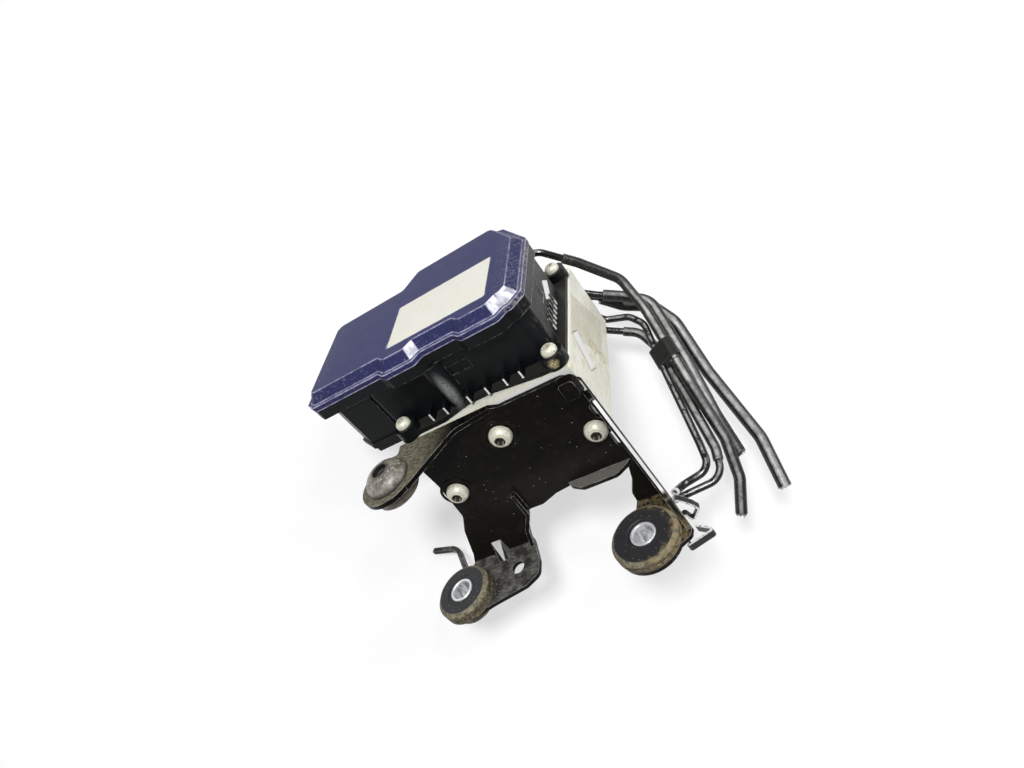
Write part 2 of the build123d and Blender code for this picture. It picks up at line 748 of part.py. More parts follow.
with BuildPart() as control_housing:
    # Base flange on the seal.
    with BuildSketch(Plane.XY.offset(housing_bottom)):
        with BuildLine():
            FilletPolyline(*flange_corners, radius=6, close=True)
        make_face()
    extrude(amount=flange_thickness)
    # Walls up to the rim.
    with BuildSketch(Plane.XY.offset(housing_bottom)):
        add(wall_outline(0))
    extrude(amount=rim_bottom - housing_bottom)
    # Rounded column up the near wall.
    with BuildSketch(Plane.XY.offset(housing_bottom + 1)):
        with Locations((ridge_x, wall_near + 2)):
            Circle(ridge_radius)
    extrude(amount=rim_bottom - housing_bottom - 1)
    # Connector shell, with its near left corner cut off.
    with BuildSketch(Plane.XY.offset(connector_bottom)):
        with BuildLine():
            Polyline(
                (connector_left, connector_near + 10),
                (connector_left + 10, connector_near),
                (connector_right, connector_near),
                (connector_right, connector_far),
                (connector_left, connector_far),
                close=True,
            )
        make_face()
    extrude(amount=rim_bottom - connector_bottom)
    # Collar round the connector's mouth.
    with BuildSketch(Plane.XY.offset(connector_bottom + 4)):
        with BuildLine():
            Polyline(
                (connector_left - 1.5, connector_near + 9.4),
                (connector_left + 9.4, connector_near - 1.5),
                (connector_right, connector_near - 1.5),
                (connector_right, connector_far + 1.5),
                (connector_left - 1.5, connector_far + 1.5),
                close=True,
            )
        make_face()
    extrude(amount=3)
    # Stiffening webs between the connector and the rim.
    for web_y in (connector_near + 16, connector_y, connector_far - 10):
        with BuildSketch(Plane.XZ.offset(-web_y)):
            with BuildLine():
                Polyline(
                    (connector_left, rim_bottom),
                    (lid_left + 2, rim_bottom),
                    (connector_left, rim_bottom - 12),
                    close=True,
                )
            make_face()
        extrude(amount=2)
    # Rim band under the lid.
    with BuildSketch(Plane.XY.offset(rim_bottom)):
        add(lid_outline(rim_inset))
    extrude(amount=rim_top - rim_bottom)
    # Screw ears.
    with BuildSketch(Plane.XY.offset(housing_bottom)):
        with Locations(*housing_screw_places):
            Circle(ear_radius)
    extrude(amount=ear_top - housing_bottom)
    # Short ribs on the flange along the near side.
    with BuildSketch(Plane.XY.offset(housing_bottom + flange_thickness)):
        with Locations(*[(x, (plate_back + wall_near) / 2 + 2) for x in rib_places]):
            Rectangle(1.2, wall_near - plate_back - 3)
    extrude(amount=1.6)
    # Row of ribs low on the right end wall.
    with BuildSketch(Plane.YZ.offset(wall_right - 1)):
        with Locations((motor_y - 10.5, housing_bottom + 9)):
            with GridLocations(end_rib_pitch, 1, end_rib_count, 1):
                Rectangle(1.2, 8)
    extrude(amount=2.2)
    # Chamber for the coils, and the board's chamber above it.
    with BuildSketch(Plane.XY.offset(housing_bottom)):
        add(wall_outline(housing_wall))
    extrude(amount=board_level - housing_bottom, mode=Mode.SUBTRACT)
    with BuildSketch(Plane.XY.offset(board_level)):
        add(lid_outline(rim_inset + housing_wall, corner=1.0))
    extrude(amount=rim_top - board_level, mode=Mode.SUBTRACT)
    # Shelf over the coils, with posts for the board.
    with BuildSketch(Plane.XY.offset(coil_shelf)):
        add(wall_outline(housing_wall - 0.5))
        with Locations((centre_x, valve_centre_y)):
            with GridLocations(valve_pitch_x, valve_pitch_y, valve_columns, valve_rows):
                Circle(2.5, mode=Mode.SUBTRACT)
    extrude(amount=2)
    with BuildSketch(Plane.XY.offset(coil_shelf)):
        with Locations((centre_x, valve_centre_y)):
            with GridLocations(valve_pitch_x * 3 + 14, valve_pitch_y * 2 + 14, 2, 2):
                Circle(2)
    extrude(amount=board_level - coil_shelf)
    # Connector socket and the slots that hold its pins.
    with BuildSketch(Plane.XY.offset(connector_bottom)):
        with BuildLine():
            Polyline(
                (connector_left + housing_wall, connector_near + 11),
                (connector_left + 11, connector_near + housing_wall),
                (connector_right - housing_wall, connector_near + housing_wall),
                (connector_right - housing_wall, connector_far - housing_wall),
                (connector_left + housing_wall, connector_far - housing_wall),
                close=True,
            )
        make_face()
    extrude(amount=socket_depth, mode=Mode.SUBTRACT)
    with BuildSketch(Plane.XY.offset(socket_floor - 1)):
        add(pin_sketch(0.02))
    extrude(amount=board_level - socket_floor + 2, mode=Mode.SUBTRACT)
    # Screw holes through the ears.
    with BuildSketch(Plane.XY.offset(housing_bottom)):
        with Locations(*housing_screw_places):
            Circle(housing_screw_radius + 0.2)
    extrude(amount=ear_top - housing_bottom, mode=Mode.SUBTRACT)
    # Shallow window and step on the near wall, and the small bare label place on the end.
    with BuildSketch(Plane.XZ.offset(-wall_near)):
        with Locations((ridge_x + 12.5, rim_bottom - 10)):
            Rectangle(16, 6)
    extrude(amount=-1.0, mode=Mode.SUBTRACT)
    with BuildSketch(Plane.YZ.offset(wall_right)):
        with Locations((motor_y - 8, rim_bottom - 9)):
            Rectangle(9, 10)
    extrude(amount=-label_depth, mode=Mode.SUBTRACT)
control_housing.part.label = "control_housing"
export_step(control_housing.part, "parts/control_housing.step")

with BuildPart() as block_seal:
    with BuildSketch(Plane.XY.offset(block_top)):
        add(wall_outline(0.3))
        add(wall_outline(housing_wall - 0.3), mode=Mode.SUBTRACT)
    extrude(amount=seal_thickness)
    with BuildSketch(Plane.XY.offset(block_top)):
        with Locations((block_left / 2 + 0.3, motor_y)):
            Rectangle(block_left, 2 * block_depth)
    extrude(amount=seal_thickness, mode=Mode.SUBTRACT)
block_seal.part.label = "block_seal"
export_step(block_seal.part, "parts/block_seal.step")

with BuildPart() as circuit_board:
    with BuildSketch(Plane.XY.offset(board_level)):
        add(lid_outline(rim_inset + housing_wall + 0.8, corner=1.0))
    extrude(amount=board_thickness)
circuit_board.part.label = "circuit_board"
export_step(circuit_board.part, "parts/circuit_board.step")

with BuildPart() as connector_pins:
    with BuildSketch(Plane.XY.offset(connector_bottom + pin_reach)):
        add(pin_sketch(0))
    extrude(amount=board_level - connector_bottom - pin_reach)
connector_pins.part.label = "connector_pins"
export_step(connector_pins.part, "parts/connector_pins.step")

with BuildPart() as housing_screws:
    for x, y in housing_screw_places:
        add(
            lobed_screw(
                (x, y, ear_top),
                (0, 0, 1),
                housing_head_radius,
                housing_head_height,
                housing_screw_radius,
                ear_top - block_top + housing_screw_depth,
                housing_socket_radius,
            )
        )
housing_screws.part.label = "housing_screws"
export_step(housing_screws.part, "parts/housing_screws.step")

lid_step_top = rim_top + lid_rim_height
lid_top = lid_step_top + lid_rise

with BuildPart() as housing_lid:
    with BuildSketch(Plane.XY.offset(rim_top)):
        add(lid_outline(0))
    extrude(amount=lid_rim_height)
    # Shoulder that slopes in to the raised top.
    with BuildSketch(Plane.XY.offset(lid_step_top)):
        add(lid_outline(lid_rim_step))
    with BuildSketch(Plane.XY.offset(lid_top)):
        add(lid_outline(lid_rim_step + lid_shoulder))
    loft(ruled=True)
    # The underside follows the top at the wall's thickness.
    with BuildSketch(Plane.XY.offset(lid_step_top - lid_wall)):
        add(lid_outline(lid_rim_step + lid_wall + 0.6, corner=1.0))
    with BuildSketch(Plane.XY.offset(lid_top - lid_wall)):
        add(lid_outline(lid_rim_step + lid_shoulder + lid_wall, corner=1.0))
    loft(ruled=True, mode=Mode.SUBTRACT)
    # Label place on the top.
    with BuildSketch(Plane.XY.offset(lid_top)):
        with Locations(label_place):
            RectangleRounded(label_length, label_width, 1.0)
    extrude(amount=-label_depth, mode=Mode.SUBTRACT)
housing_lid.part.label = "housing_lid"
export_step(housing_lid.part, "parts/housing_lid.step")

# ================================================================ mounting bracket
# One pressed sheet: a plate behind the block's front face, an arm folded over at
# the top, two legs with folded tabs, and a flange down the right side.
tab_bottom = tab_top - sheet
arm_bottom = arm_top - sheet
left_tab_radius = 15.5
right_tab_radius = 20.0
arm_radius = 18.0
tab_hole_place = (35.3, 10.7)
tab_hole_radius = 4.5
relief_slots = [(75.7, 10.6), (52.0, 12.8)]  # (Z, length) beside the right bend
relief_slot_width = 4.0
flange_out = Vector(math.sin(math.radians(flange_lean)), -math.cos(math.radians(flange_lean)), 0)
flange_reach = 33.0
flange_end = Vector(plate_right, plate_front, 0) + flange_out * flange_reach

# Plate outline, as (X, Z, corner radius), clockwise from the top left.
plate_corners = [
    (23.0, arm_top, 0),
    (84.0, arm_top, 2),
    (90.0, arm_top - 2.5, 3),
    (plate_right - 8, arm_top - 2.5, 4),
    (plate_right, arm_top - 9, 3),
    (plate_right, tab_bottom, 0),
    (plate_right - 17.9, tab_bottom, 0),
    (plate_right - 16.9, 9.0, 6),
    (plate_right - 11.5, 19.0, 6),
    (plate_right - 7.5, 32.5, 3),
    (93.0, 32.5, 5),
    (82.0, 31.0, 5),
    (70.0, 26.5, 8),
    (59.0, 27.0, 6),
    (52.0, 15.0, 8),
    (46.0, 1.0, 0),
    (46.0, tab_bottom, 0),
    (0.0, tab_bottom, 0),
    (0.0, 0.0, 0),
    (4.0, 7.0, 6),
    (13.0, 29.5, 10),
    (20.5, 41.5, 8),
    (22.0, 54.0, 6),
    (24.0, 71.0, 8),
]

def fold_edges(bracket, y, z, x_from, x_to):
    """The straight edges of one fold, which lie along X at the given Y and Z."""
    along_x = bracket.edges().filter_by(Axis.X)
    at_y = along_x.filter_by_position(Axis.Y, y - 0.01, y + 0.01)
    at_z = at_y.filter_by_position(Axis.Z, z - 0.01, z + 0.01)
    return at_z.filter_by_position(Axis.X, x_from, x_to)


def fold_cove(x_from, x_to):
    """The rounded inside corner of a fold between the plate and a tab."""
    with BuildPart(mode=Mode.PRIVATE) as cove:
        with BuildSketch(Plane.YZ.offset(x_from)):
            with BuildLine():
                Polyline(
                    (plate_front, tab_top + bend_inside),
                    (plate_front + 0.5, tab_top + bend_inside),
                    (plate_front + 0.5, tab_top - 0.5),
                    (plate_front - bend_inside, tab_top - 0.5),
                    (plate_front - bend_inside, tab_top),
                )
                RadiusArc(
                    (plate_front - bend_inside, tab_top),
                    (plate_front, tab_top + bend_inside),
                    -bend_inside,
                )
            make_face()
        extrude(amount=x_to - x_from)
    return cove.part


with BuildPart() as mounting_bracket:
    # Plate.
    with BuildSketch(Plane.XZ.offset(-plate_back)):
        with BuildLine():
            FilletPolyline(
                *[(x, z) for x, z, radius in plate_corners],
                radius=[radius for x, z, radius in plate_corners],
                close=True,
            )
        make_face()
    extrude(amount=sheet)
    # Arm, folded forward over the top, with a round eye for the upper isolator.
    with BuildSketch(Plane.XY.offset(arm_bottom)):
        with BuildLine():
            FilletPolyline(
                (84, plate_back),
                (84, plate_front - 1),
                (62, plate_front - 4.5),
                (52, 11.5),
                (left_upper[0] + 15, left_upper[1] - 11.5),
                (left_upper[0], left_upper[1] - 8),
                (left_upper[0] - 8, left_upper[1] + 12),
                (left_upper[0] + 2.5, left_upper[1] + 19),
                (left_upper[0] + 2.5, plate_back),
                radius=[0, 1, 8, 12, 1, 1, 1, 1, 0],
                close=True,
            )
        make_face()
        with Locations(left_upper):
            Circle(arm_radius)
    extrude(amount=sheet)
    # Left tab, with a round end for the lower isolator.
    with BuildSketch(Plane.XY.offset(tab_bottom)):
        with BuildLine():
            FilletPolyline(
                (left_lower[0] - left_tab_radius + 1, left_lower[1] + 6),
                (0, plate_front - 1),
                (0, plate_back),
                (46, plate_back),
                (51, 11),
                (51, 1),
                (42, -5),
                (19, -10),
                (left_lower[0], left_lower[1] - left_tab_radius),
                radius=[0, 2, 0, 0, 6, 6, 8, 20, 0],
                close=True,
            )
        make_face()
        with Locations(left_lower):
            Circle(left_tab_radius)
    extrude(amount=sheet)
    fillet(fold_edges(mounting_bracket, plate_back, tab_bottom, 0, 50), radius=bend_outside)
    add(fold_cove(2, 45))
    # Curved finger beside the left tab.
    with BuildSketch(Plane.XY.offset(tab_bottom)):
        with BuildLine():
            FilletPolyline((3, 22), (-7.5, 24.5), (-17.5, 46), (-39.5, 52), radius=[6, 14])
        trace(line_width=3.4)
    extrude(amount=sheet)
    # Right tab, running into the foot of the flange.
    with BuildSketch(Plane.XY.offset(tab_bottom)):
        with BuildLine():
            FilletPolyline(
                (plate_right - 17.9, plate_back),
                (plate_right, plate_back),
                (flange_end.X, flange_end.Y),
                (flange_end.X - 1, flange_end.Y - 5),
                (right_lower[0] + 4, right_lower[1] - right_tab_radius + 3),
                (right_lower[0] - 10, right_lower[1]),
                radius=[0, 0, 2, 4, 0, 0],
                close=True,
            )
        make_face()
        with Locations(right_lower):
            Circle(right_tab_radius)
    extrude(amount=sheet)
    fillet(fold_edges(mounting_bracket, plate_back, tab_bottom, centre_x + 30, plate_right + 3), radius=bend_outside)
    add(fold_cove(plate_right - 16.5, plate_right - 1))
    # Right flange, leaning outward and widening down to the tab.
    flange_plane = Plane(
        origin=(plate_right, plate_front, 0),
        x_dir=flange_out,
        z_dir=flange_out.cross(Vector(0, 0, 1)),
    )
    with BuildSketch(flange_plane):
        with BuildLine():
            FilletPolyline(
                (-sheet, flange_top),
                (flange_height - 2, flange_top),
                (flange_height, flange_top - 14),
                (flange_height, tab_top + 10),
                (flange_reach, tab_top + 1),
                (flange_reach, tab_bottom),
                (bend_outside, tab_bottom),
                (-sheet, tab_bottom + bend_outside),
                radius=[0, 5, 20, 12, 0, 0, 0, 0],
                close=True,
            )
        make_face()
    extrude(amount=sheet)
    # Lip along the plate's lower edge.
    with BuildSketch(Plane.XY.offset(32.5)):
        with BuildLine():
            FilletPolyline(
                (plate_right - 45.5, plate_back),
                (plate_right - 43.5, plate_front - 3),
                (plate_right - 35.5, plate_front - lip_depth),
                (plate_right - 13.5, plate_front - lip_depth),
                (plate_right - 6.5, plate_front - 3),
                (plate_right - 2.5, plate_back),
                radius=[4, 7, 7, 4],
            )
            Line((plate_right - 2.5, plate_back), (plate_right - 45.5, plate_back))
        make_face()
    extrude(amount=sheet - 0.4)
    # Rim down the right side of the left leg.
    with BuildSketch(Plane.XZ.offset(-plate_front)):
        with BuildLine():
            FilletPolyline((60, 45), (59, 26), (50.5, 14), (45.5, 0), radius=[10, 10])
        trace(line_width=sheet - 0.6)
    extrude(amount=leg_rim_height)
    # Hood at the top right corner.
    with BuildSketch(Plane.XZ.offset(-plate_front + 0.5)):
        with Locations((plate_right - 6.5, arm_top - 9)):
            RectangleRounded(12, 15, 4)
    extrude(amount=4.5, taper=20)
    # Stiffening dart across the left fold.
    with BuildSketch(Plane.YZ.offset(21.0)):
        with BuildLine():
            Polyline(
                (plate_front + 1, tab_top - 1),
                (plate_front + 1, tab_top + 13),
                (plate_front - 8, tab_top - 1),
                close=True,
            )
        make_face()
    extrude(amount=7)
    # Raised rings round the screws.
    with BuildSketch(Plane.XZ.offset(-plate_front)):
        with Locations(*bracket_screw_places[:1], *bracket_screw_places[2:]):
            Circle(bracket_head_radius + 4)
            Circle(bracket_head_radius + 2.4, mode=Mode.SUBTRACT)
    extrude(amount=0.5)
    # Screw clearance holes, isolator holes, tab holes and relief slots.
    with BuildSketch(Plane.XZ.offset(-plate_back)):
        with Locations(*bracket_screw_places):
            Circle(bracket_screw_radius + 0.3)
        for level, length in relief_slots:
            with Locations((plate_right - 3.4, level)):
                SlotOverall(length, relief_slot_width, rotation=90)
    extrude(amount=sheet + 1, mode=Mode.SUBTRACT)
    for place, level in ((left_upper, arm_bottom), (left_lower, tab_bottom), (right_lower, tab_bottom)):
        with BuildSketch(Plane.XY.offset(level)):
            with Locations(place):
                Circle(groove_radius + fit_gap)
        extrude(amount=sheet, mode=Mode.SUBTRACT)
    with BuildSketch(Plane.XY.offset(tab_bottom)):
        with Locations(tab_hole_place):
            Circle(tab_hole_radius)
        with Locations((right_lower[0] + 2, plate_front - 3.5)):
            Circle(1.5)
    extrude(amount=sheet, mode=Mode.SUBTRACT)
mounting_bracket.part.label = "mounting_bracket"
export_step(mounting_bracket.part, "parts/mounting_bracket.step")

with BuildPart() as bracket_screws:
    for x, z in bracket_screw_places:
        add(
            lobed_screw(
                (x, plate_front, z),
                (0, -1, 0),
                bracket_head_radius,
                bracket_head_height,
                bracket_screw_radius,
                bracket_screw_depth + sheet,
                bracket_socket_radius,
            )
        )
bracket_screws.part.label = "bracket_screws"
export_step(bracket_screws.part, "parts/bracket_screws.step")

# ================================================================ isolators and sleeves


def lower_isolator(place, face_radius, face_height):
    """Rubber isolator: a stepped face disc above its sheet and a back disc below."""
    bore = sleeve_outer_radius + fit_gap
    step = face_height * 0.32
    with BuildPart() as isolator:
        with BuildSketch(vertical_plane(*place)):
            with BuildLine():
                Polyline(
                    (bore, tab_bottom - isolator_back_height),
                    (isolator_back_radius - 1.5, tab_bottom - isolator_back_height),
                    (isolator_back_radius, tab_bottom - isolator_back_height + 1.5),
                    (isolator_back_radius, tab_bottom),
                    (groove_radius, tab_bottom),
                    (groove_radius, tab_top),
                    (face_radius - 0.8, tab_top),
                    (face_radius, tab_top + 0.8),
                    (face_radius, tab_top + step),
                    (face_radius - 1.2, tab_top + step + 0.5),
                    (face_radius - 1.2, tab_top + step + 1.0),
                    (face_radius, tab_top + step + 1.6),
                    (face_radius, tab_top + face_height - 2.2),
                    (face_radius - 2.0, tab_top + face_height),
                    (bore + 3.0, tab_top + face_height),
                    (bore + 2.2, tab_top + face_height - 0.5),
                    (bore, tab_top + face_height - 0.5),
                    close=True,
                )
            make_face()
        revolve(axis=vertical_axis(*place))
    return isolator.part


def spacer_sleeve(place, outer, wall, bottom, length):
    """Steel spacer tube with its mouths broken."""
    x, y = place
    edge = 0.3
    with BuildPart() as sleeve:
        with BuildSketch(vertical_plane(x, y, bottom)):
            with BuildLine():
                Polyline(
                    (outer - wall, edge),
                    (outer - wall + edge, 0),
                    (outer - edge, 0),
                    (outer, edge),
                    (outer, length - edge),
                    (outer - edge, length),
                    (outer - wall + edge, length),
                    (outer - wall, length - edge),
                    close=True,
                )
            make_face()
        revolve(axis=vertical_axis(x, y))
    return sleeve.part


lower_sleeve_bottom = tab_bottom - isolator_back_height - sleeve_stand_out
for side, place, face_radius, face_height in (
    ("left_lower", left_lower, left_face_radius, left_face_height),
    ("right_lower", right_lower, right_face_radius, right_face_height),
):
    isolator = lower_isolator(place, face_radius, face_height)
    isolator.label = f"{side}_isolator"
    export_step(isolator, f"parts/{side}_isolator.step")
    sleeve_top = tab_top + face_height + sleeve_stand_out
    sleeve = spacer_sleeve(
        place,
        sleeve_outer_radius,
        sleeve_wall,
        lower_sleeve_bottom,
        sleeve_top - lower_sleeve_bottom,
    )
    sleeve.label = f"{side}_sleeve"
    export_step(sleeve, f"parts/{side}_sleeve.step")

upper_disc_bottom = arm_bottom - upper_disc_height
upper_bore = upper_sleeve_radius + fit_gap
upper_sleeve_top = upper_disc_bottom + upper_sleeve_length

with BuildPart() as left_upper_isolator:
    with BuildSketch(vertical_plane(*left_upper)):
        with BuildLine():
            Polyline(
                (dome_hole_radius, arm_top + dome_height),
                (dome_hole_radius, upper_sleeve_top),
                (upper_bore, upper_sleeve_top),
                (upper_bore, upper_disc_bottom),
                (upper_disc_radius - 1.5, upper_disc_bottom),
                (upper_disc_radius, upper_disc_bottom + 1.5),
                (upper_disc_radius, arm_bottom - 2),
                (upper_disc_radius - 1, arm_bottom),
                (groove_radius, arm_bottom),
                (groove_radius, arm_top),
                (dome_radius, arm_top),
                (dome_radius, arm_top + 1),
            )
            ThreePointArc(
                (dome_radius, arm_top + 1),
                (dome_radius * 0.78, arm_top + dome_height * 0.72),
                (dome_hole_radius + 1.2, arm_top + dome_height),
            )
            Line(
                (dome_hole_radius + 1.2, arm_top + dome_height),
                (dome_hole_radius, arm_top + dome_height),
            )
        make_face()
    revolve(axis=vertical_axis(*left_upper))
left_upper_isolator.part.label = "left_upper_isolator"
export_step(left_upper_isolator.part, "parts/left_upper_isolator.step")

left_upper_sleeve = spacer_sleeve(
    left_upper,
    upper_sleeve_radius,
    upper_sleeve_wall,
    upper_disc_bottom + 0.3,
    upper_sleeve_length - 0.3 - fit_gap,
)
left_upper_sleeve.label = "left_upper_sleeve"
export_step(left_upper_sleeve, "parts/left_upper_sleeve.step")

# ================================================================ brake pipes
# Centre lines of the cut pipes, corner by corner from each port to the cut end.
straight_out = 17.0


def from_port(name, *corners):
    """A pipe's corners, starting inside its port and running straight out first."""
    x, z = port_places[name]
    start = (x, block_back - port_depth + pipe_seat, z)
    return [start, (x, block_back + straight_out, z), *corners]


pipe_routes = {
    "upper": from_port(
        "upper",
        (102, 149, 123),
        (121, 147, 118.5),
        (138, 147, 99),
        (156, 145, 75),
        (162, 132, 54),
        (169.5, 93, 17.5),
        (175, 68, -17),
        (173, 52, -37),
        (165, 39, -53),
    ),
    "middle": from_port(
        "middle",
        (137, 147, 71),
        (151, 147, 61),
        (165, 145, 50),
        (171.5, 111.5, 19),
        (174.5, 84.5, -9.5),
        (178, 69, -34),
    ),
    "outer": from_port(
        "outer",
        (133, 154, 67),
        (146, 154, 51),
        (162.5, 150.5, 43),
        (173, 137, 32),
        (179, 112, 2),
        (192, 79, -38),
        (194, 51, -58),
    ),
    "bare": from_port(
        "bare",
        (131, 147, 51),
        (147, 145, 46),
        (155, 137, 41),
        (157, 108, 25),
        (163, 56, -1),
        (164, 40.5, -8.5),
        (146, 36, -9),
        (142.5, 26, -2),
    ),
    "lower": from_port(
        "lower",
        (128, 148, 42),
        (147, 146, 30),
        (154, 134, 22),
        (163, 92, 6),
        (169, 58, -12),
        (167, 41, -20),
        (135, 34.5, -17),
    ),
}
pipe_bends = {
    "upper": [8, 9, 9, 14, 14, 30, 20, 16, 14],
    "middle": [8, 9, 9, 12, 30, 30],
    "outer": [8, 9, 9, 10, 18, 18, 16],
    "bare": [8, 8, 9, 12, 30, 10, 9, 5],
    "lower": [8, 9, 12, 30, 20, 16, 11],
}
# Rubber sleeves pushed over the pipes: route, first and last corner with how far
# along the side after it the sleeve begins or ends, outer radius.
pipe_sleeves = {
    "upper_pipe_sleeve": ("upper", (3, 0.6), (6, 0.70), thin_sleeve_radius - 0.2),
    "upper_pipe_end_sleeve": ("upper", (6, 0.72), (9, 1.0), sleeve_radius - 0.2),
    "middle_pipe_sleeve": ("middle", (2, 0.2), (6, 0.95), sleeve_radius - 0.15),
    "outer_pipe_sleeve": ("outer", (2, 0.2), (7, 0.98), sleeve_radius + 0.3),
    "lower_pipe_sleeve": ("lower", (2, 0.5), (6, 0.4), thin_sleeve_radius - 0.3),
}


def run_between(route, bends, first, last):
    """Part of a route from a point on one side to a point on a later side."""
    i, share_i = first
    j, share_j = last
    start = Vector(*route[i]) + (Vector(*route[i + 1]) - Vector(*route[i])) * share_i
    end = Vector(*route[j]) + (Vector(*route[j + 1]) - Vector(*route[j])) * share_j
    corners = [start, *[Vector(*corner) for corner in route[i + 1 : j + 1]], end]
    return corners, bends[i : j]


def swept_tube(corners, bends, outer, inner):
    """A round tube along straight runs joined by tangent bends."""
    with BuildPart() as tube:
        with BuildLine():
            if bends:
                FilletPolyline(*corners, radius=bends)
            else:
                Line(*corners)
        with BuildSketch(Plane(origin=corners[0], z_dir=corners[1] - corners[0])):
            Circle(outer)
            if inner:
                Circle(inner, mode=Mode.SUBTRACT)
        sweep()
    return tube.part


for name, route in pipe_routes.items():
    corners = [Vector(*corner) for corner in route]
    pipe = swept_tube(corners, pipe_bends[name], pipe_radius, pipe_bore)
    pipe.label = f"{name}_pipe"
    export_step(pipe, f"parts/{name}_pipe.step")

for name, (route_name, first, last, outer) in pipe_sleeves.items():
    corners, bends = run_between(pipe_routes[route_name], pipe_bends[route_name], first, last)
    sleeve = swept_tube(corners, bends, outer, pipe_radius + fit_gap)
    sleeve.label = name
    export_step(sleeve, f"parts/{name}.step")

with BuildPart() as tube_nuts:
    with BuildSketch(Plane.XZ.offset(-block_back - nut_length)):
        with Locations(*port_places.values()):
            RegularPolygon(nut_flats / 2, 6, major_radius=False)
    extrude(amount=nut_length)
    with BuildSketch(Plane.XZ.offset(-block_back)):
        with Locations(*port_places.values()):
            Circle(port_radius - fit_gap)
    extrude(amount=port_depth - 1)
    with BuildSketch(Plane.XZ.offset(-block_back - nut_length)):
        with Locations(*port_places.values()):
            Circle(pipe_radius + fit_gap)
    extrude(amount=nut_length + port_depth, mode=Mode.SUBTRACT)
tube_nuts.part.label = "tube_nuts"
export_step(tube_nuts.part, "parts/tube_nuts.step")

# ================================================================ pipe clips
# A moulded clip holds three pipes side by side where they run down together.
clip_centre = Vector(160, 113, 28)
clip_along = Vector(0.16, -0.80, -0.58).normalized()
clip_plane = Plane(origin=clip_centre, x_dir=Vector(1, 0, 0.28), z_dir=clip_along)
held_pipes = {
    "upper": thin_sleeve_radius - 0.2,
    "bare": pipe_radius,
    "lower": thin_sleeve_radius - 0.3,
}


def crossing(route, plane):
    """Where a route's straight sides cross a plane, in the plane's own coordinates."""
    for start, end in zip(route[1:-1], route[2:]):
        low = plane.to_local_coords(Vector(*start))
        high = plane.to_local_coords(Vector(*end))
        if low.Z * high.Z < 0:
            share = low.Z / (low.Z - high.Z)
            middle = low + (high - low) * share
            return (middle.X, middle.Y)
    raise ValueError("the route does not cross the plane")


with BuildPart() as pipe_clip:
    with BuildSketch(clip_plane.offset(-clip_length / 2)):
        for name, held_radius in held_pipes.items():
            with Locations(crossing(pipe_routes[name], clip_plane)):
                Circle(held_radius + clip_wall)
        make_hull()
    extrude(amount=clip_length)
    for name, held_radius in held_pipes.items():
        corners, bends = run_between(
            pipe_routes[name],
            pipe_bends[name],
            (3, 0.3),
            (6 if name == "upper" else 5, 0.9),
        )
        add(swept_tube(corners, bends, held_radius + fit_gap, 0), mode=Mode.SUBTRACT)
pipe_clip.part.label = "pipe_clip"
export_step(pipe_clip.part, "parts/pipe_clip.step")

# Two folded spring strips at the foot of the right flange, for pipes now cut off.
strip_y = 19.5
with BuildPart() as upper_spring_clip:
    with BuildSketch(Plane.XZ.offset(-strip_y - 4)):
        with BuildLine():
            FilletPolyline(
                (142.0, -1.2),
                (144.5, -3.5),
                (149, -10),
                (151, -15),
                (144, -23),
                (142, -15),
                (139, -18),
                radius=[1, 3, 1.2, 1.2, 1.2],
            )
        trace(line_width=strip_thickness)
    extrude(amount=4)
upper_spring_clip.part.label = "upper_spring_clip"
export_step(upper_spring_clip.part, "parts/upper_spring_clip.step")

with BuildPart() as lower_spring_clip:
    with BuildSketch(Plane.XY.offset(tab_bottom - 5)):
        with BuildLine():
            FilletPolyline((151, -1), (161, -7), (142, -13.5), (146, -9), radius=[1.2, 1.2])
        trace(line_width=strip_thickness)
    extrude(amount=5)
lower_spring_clip.part.label = "lower_spring_clip"
export_step(lower_spring_clip.part, "parts/lower_spring_clip.step")
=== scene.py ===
import math
import random

import bmesh
import bpy
from mathutils import Matrix, Vector


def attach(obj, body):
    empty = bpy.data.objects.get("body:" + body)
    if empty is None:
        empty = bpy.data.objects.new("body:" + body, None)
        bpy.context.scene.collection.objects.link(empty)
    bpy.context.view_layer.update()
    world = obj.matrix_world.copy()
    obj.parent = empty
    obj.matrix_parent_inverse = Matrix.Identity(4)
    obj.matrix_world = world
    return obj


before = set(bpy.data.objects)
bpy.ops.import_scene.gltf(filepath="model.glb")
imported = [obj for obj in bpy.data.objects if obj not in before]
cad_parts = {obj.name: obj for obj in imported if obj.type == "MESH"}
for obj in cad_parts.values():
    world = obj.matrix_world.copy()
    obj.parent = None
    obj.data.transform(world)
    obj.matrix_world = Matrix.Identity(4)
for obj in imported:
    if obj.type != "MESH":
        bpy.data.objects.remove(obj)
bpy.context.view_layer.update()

MM = 0.001

# ---------------------------------------------------------------- places on the module, in millimetres
LID_TOP = 155.0
RECESS_FLOOR = LID_TOP - 0.3
LABEL_CENTRE = (80.5, 72.0)
LABEL_SIZE = (66.0, 41.0)
LID_CORNER_RUN = (121.0, 125.0)  # X of the short straight between the lid's near right corners, painted with a highlight

# Corners on the block's end and on the housing's end wall, as (Y, Z).
BLOCK_END = 136.0
HOUSING_END = 130.5
STICKER_CORNERS = ((61.0, 104.6), (84.0, 68.0), (121.0, 68.0), (103.0, 104.6))
BACKING_CORNERS = ((64.2, 104.2), (51.6, 83.0), (60.5, 77.4), (73.1, 98.8))
BLOCK_LABEL_CORNERS = ((63.9, 103.0), (52.7, 83.0), (60.7, 78.6), (71.9, 98.5))
HOUSING_LABEL_CORNERS = ((77.6, 122.4), (84.7, 117.6), (97.6, 122.8), (90.4, 127.6))
DROP_MARKS = (((BLOCK_END, 79.0, 79.5), 5.6), ((BLOCK_END, 81.0, 68.5), 4.6))  # middle, radius

